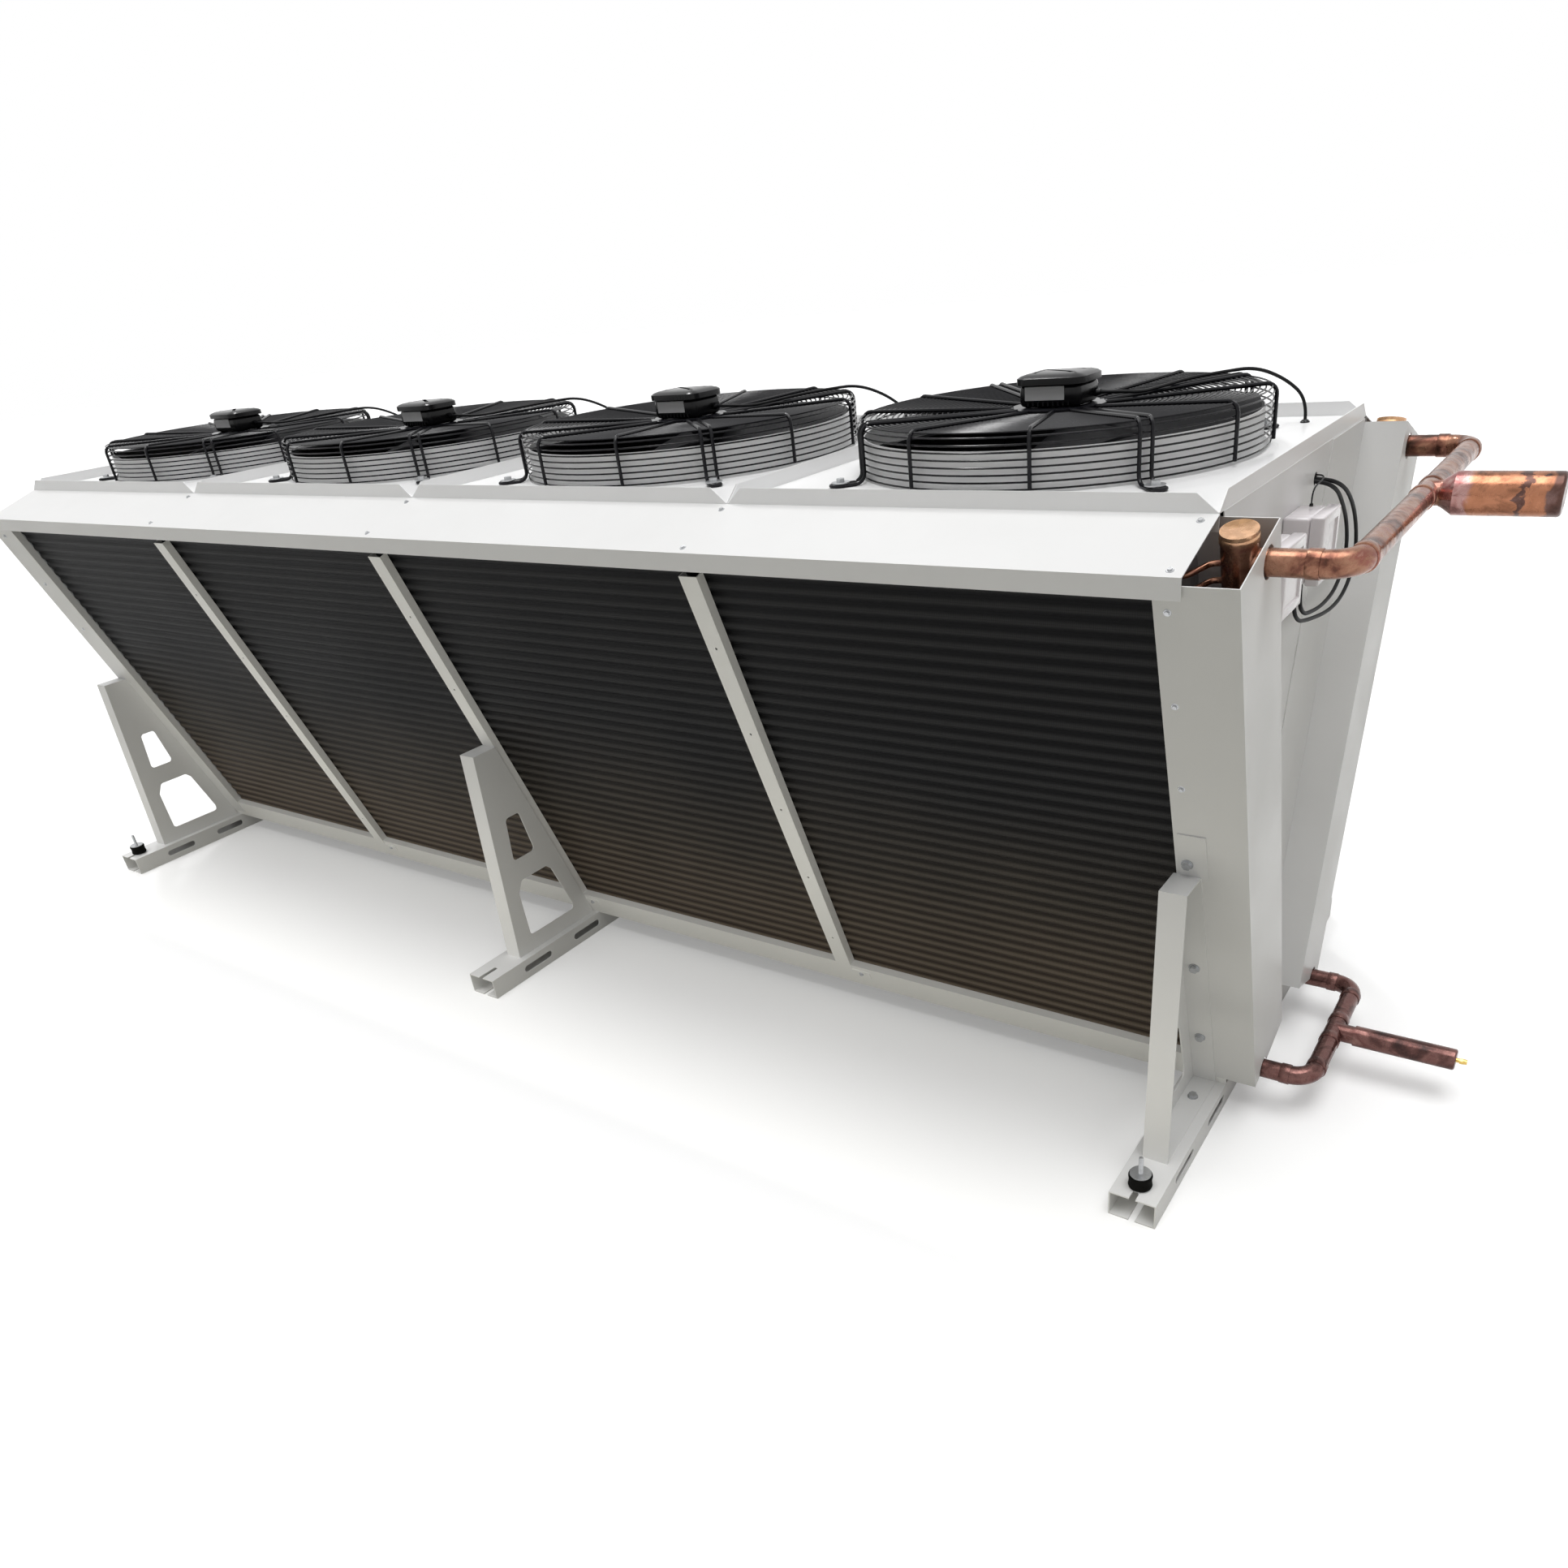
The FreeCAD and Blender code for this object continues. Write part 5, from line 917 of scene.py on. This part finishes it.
bm = bmesh.new()
for centre, _ in islands(nodes["cable_glands"]):
    if centre.z > 1.45:
        fan_centre = round(centre.x - 0.077, 1)
        foot = along((fan_centre + 0.0705, 0.02, DECK + 0.121), ALONG_X)
        gland(bm, foot, 0.008, 0.0074, 0.0075, 0.0052)
    elif centre.z > 1.3:
        spin_profile(bm, GROMMET, shift(centre.x, centre.y, DECK))
    elif centre.z > 1.2:
        add_disc(bm, shift(BOX_X, -0.022, 1.2745), 0.004, 0.0045, 20, 0.003)
    else:
        foot = along((centre.x, centre.y, BOX_FOOT), (0, 0, -1))
        gland(bm, foot, 0.0095, 0.0088, 0.0078, 0.0064)
face_outward(bm)
glands = finish_piece(bm, "glands_and_grommets", finishes["black_plastic"])
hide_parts("cable_glands")

# %% [markdown]
# ## Floor, light and camera
# The machine stands on a plain pale floor under broad, soft overhead light, as in a hall.
# The floor and the world are white to the camera and to reflections, while the light they
# give the machine stays at a plain level and a little warm from below.

# %% Rays that show a surface, apart from those that carry its light
def shown_rays(tree):
    """1 for rays of the camera, of reflections and through glass, and 0 for the rest."""
    path = add_node(tree, "LightPath")
    total = path.outputs["Is Camera Ray"]
    for kind in ("Is Glossy Ray", "Is Transmission Ray"):
        adding = add_node(tree, "Math", operation="ADD", use_clamp=True)
        wire(tree, total, adding.inputs[0])
        wire(tree, path.outputs[kind], adding.inputs[1])
        total = adding.outputs["Value"]
    return total


# %% Pale floor
FLOOR_SIZE, FLOOR_Z, FLOOR_GLOW = 40, -0.0005, 0.22
bm = bmesh.new()
bmesh.ops.create_grid(bm, x_segments=1, y_segments=1, size=FLOOR_SIZE)
floor_mesh = bpy.data.meshes.new("floor")
bm.to_mesh(floor_mesh)
bm.free()
floor = add_object("floor", floor_mesh)
floor.location.z = FLOOR_Z
floor_look, tree, shader = new_material("pale_floor")
shader.inputs["Roughness"].default_value = 0.9
shader.inputs["Emission Color"].default_value = (1, 1, 1, 1)
shown = shown_rays(tree)
colour = add_node(tree, "Mix", {"A": (0.4, 0.392, 0.35, 1), "B": (0.86, 0.86, 0.86, 1)},
                  data_type="RGBA")
wire(tree, shown, colour.inputs["Factor"])
wire(tree, colour.outputs["Result"], shader.inputs["Base Color"])
wire(tree, calculate(tree, "MULTIPLY", shown, FLOOR_GLOW), shader.inputs["Emission Strength"])
floor_mesh.materials.append(floor_look)
print("floor", 2 * FLOOR_SIZE, "m wide")

# %% World
world = bpy.data.worlds.new("hall")
bpy.context.scene.world = world
world.use_nodes = True
tree = world.node_tree
background = tree.nodes["Background"]
background.inputs["Color"].default_value = (1, 1, 1, 1)
level = add_node(tree, "MapRange", {"To Min": 0.22, "To Max": 1.0})
wire(tree, shown_rays(tree), level.inputs["Value"])
wire(tree, level.outputs["Result"], background.inputs["Strength"])
print("world", world.name)


# %% Three soft suns and a low glow
def add_sun(name, turn, strength, spread):
    """Soft sun with its direction as turns about X, Y and Z."""
    lamp = bpy.data.lights.new(name, "SUN")
    lamp.energy = strength
    lamp.angle = math.radians(spread)
    add_object(name, lamp).rotation_euler = turn


add_sun("overhead", (0.05, 0.06, 0), 2.55, 50)
add_sun("lamp_row", (-0.35, -0.5, 0), 0.4, 7)
add_sun("end_fill", (0.2, 1.15, 0), 0.1, 60)
low_lamp = bpy.data.lights.new("floor_glow", "AREA")
low_lamp.shape = "RECTANGLE"
low_lamp.size, low_lamp.size_y = 4.6, 0.3
low_lamp.energy = 3.5
low_lamp.color = (1.0, 0.97, 0.86)
low_holder = add_object("floor_glow", low_lamp)
low_holder.rotation_euler = (math.radians(100), 0, 0)
low_holder.location = (0.1, -1.0, 0.24)
low_holder.visible_camera = False
low_holder.visible_glossy = False
print(len(bpy.data.lights), "lamps")

# %% Camera at the photograph's viewing angle
PHOTO_PIXELS, FOCAL_PIXELS = 1932, 1430.2645
CENTRE_X, CENTRE_Y = 1028.821, 1141.520
PLACE = (2.585107, -2.415336, 1.763572)
RIGHT = Vector((0.828867, 0.550906, -0.097376))
DOWN = Vector((0.205121, -0.461202, -0.863260))
AHEAD = Vector((-0.520486, 0.695554, -0.495277))
camera_data = bpy.data.cameras.new("viewpoint")
camera = add_object("viewpoint", camera_data)
facing = Matrix((RIGHT, -DOWN, -AHEAD)).transposed().to_4x4()
camera.matrix_world = Matrix.Translation(PLACE) @ facing
camera_data.sensor_fit = "HORIZONTAL"
camera_data.sensor_width = 36.0
camera_data.lens = camera_data.sensor_width * FOCAL_PIXELS / PHOTO_PIXELS
camera_data.shift_x = (PHOTO_PIXELS / 2 - CENTRE_X) / PHOTO_PIXELS
camera_data.shift_y = (CENTRE_Y - PHOTO_PIXELS / 2) / PHOTO_PIXELS
camera_data.clip_end = 200
bpy.context.scene.camera = camera
bpy.context.scene.view_settings.view_transform = "Standard"
print("camera", [round(v, 3) for v in camera.location], "lens", round(camera_data.lens, 2))
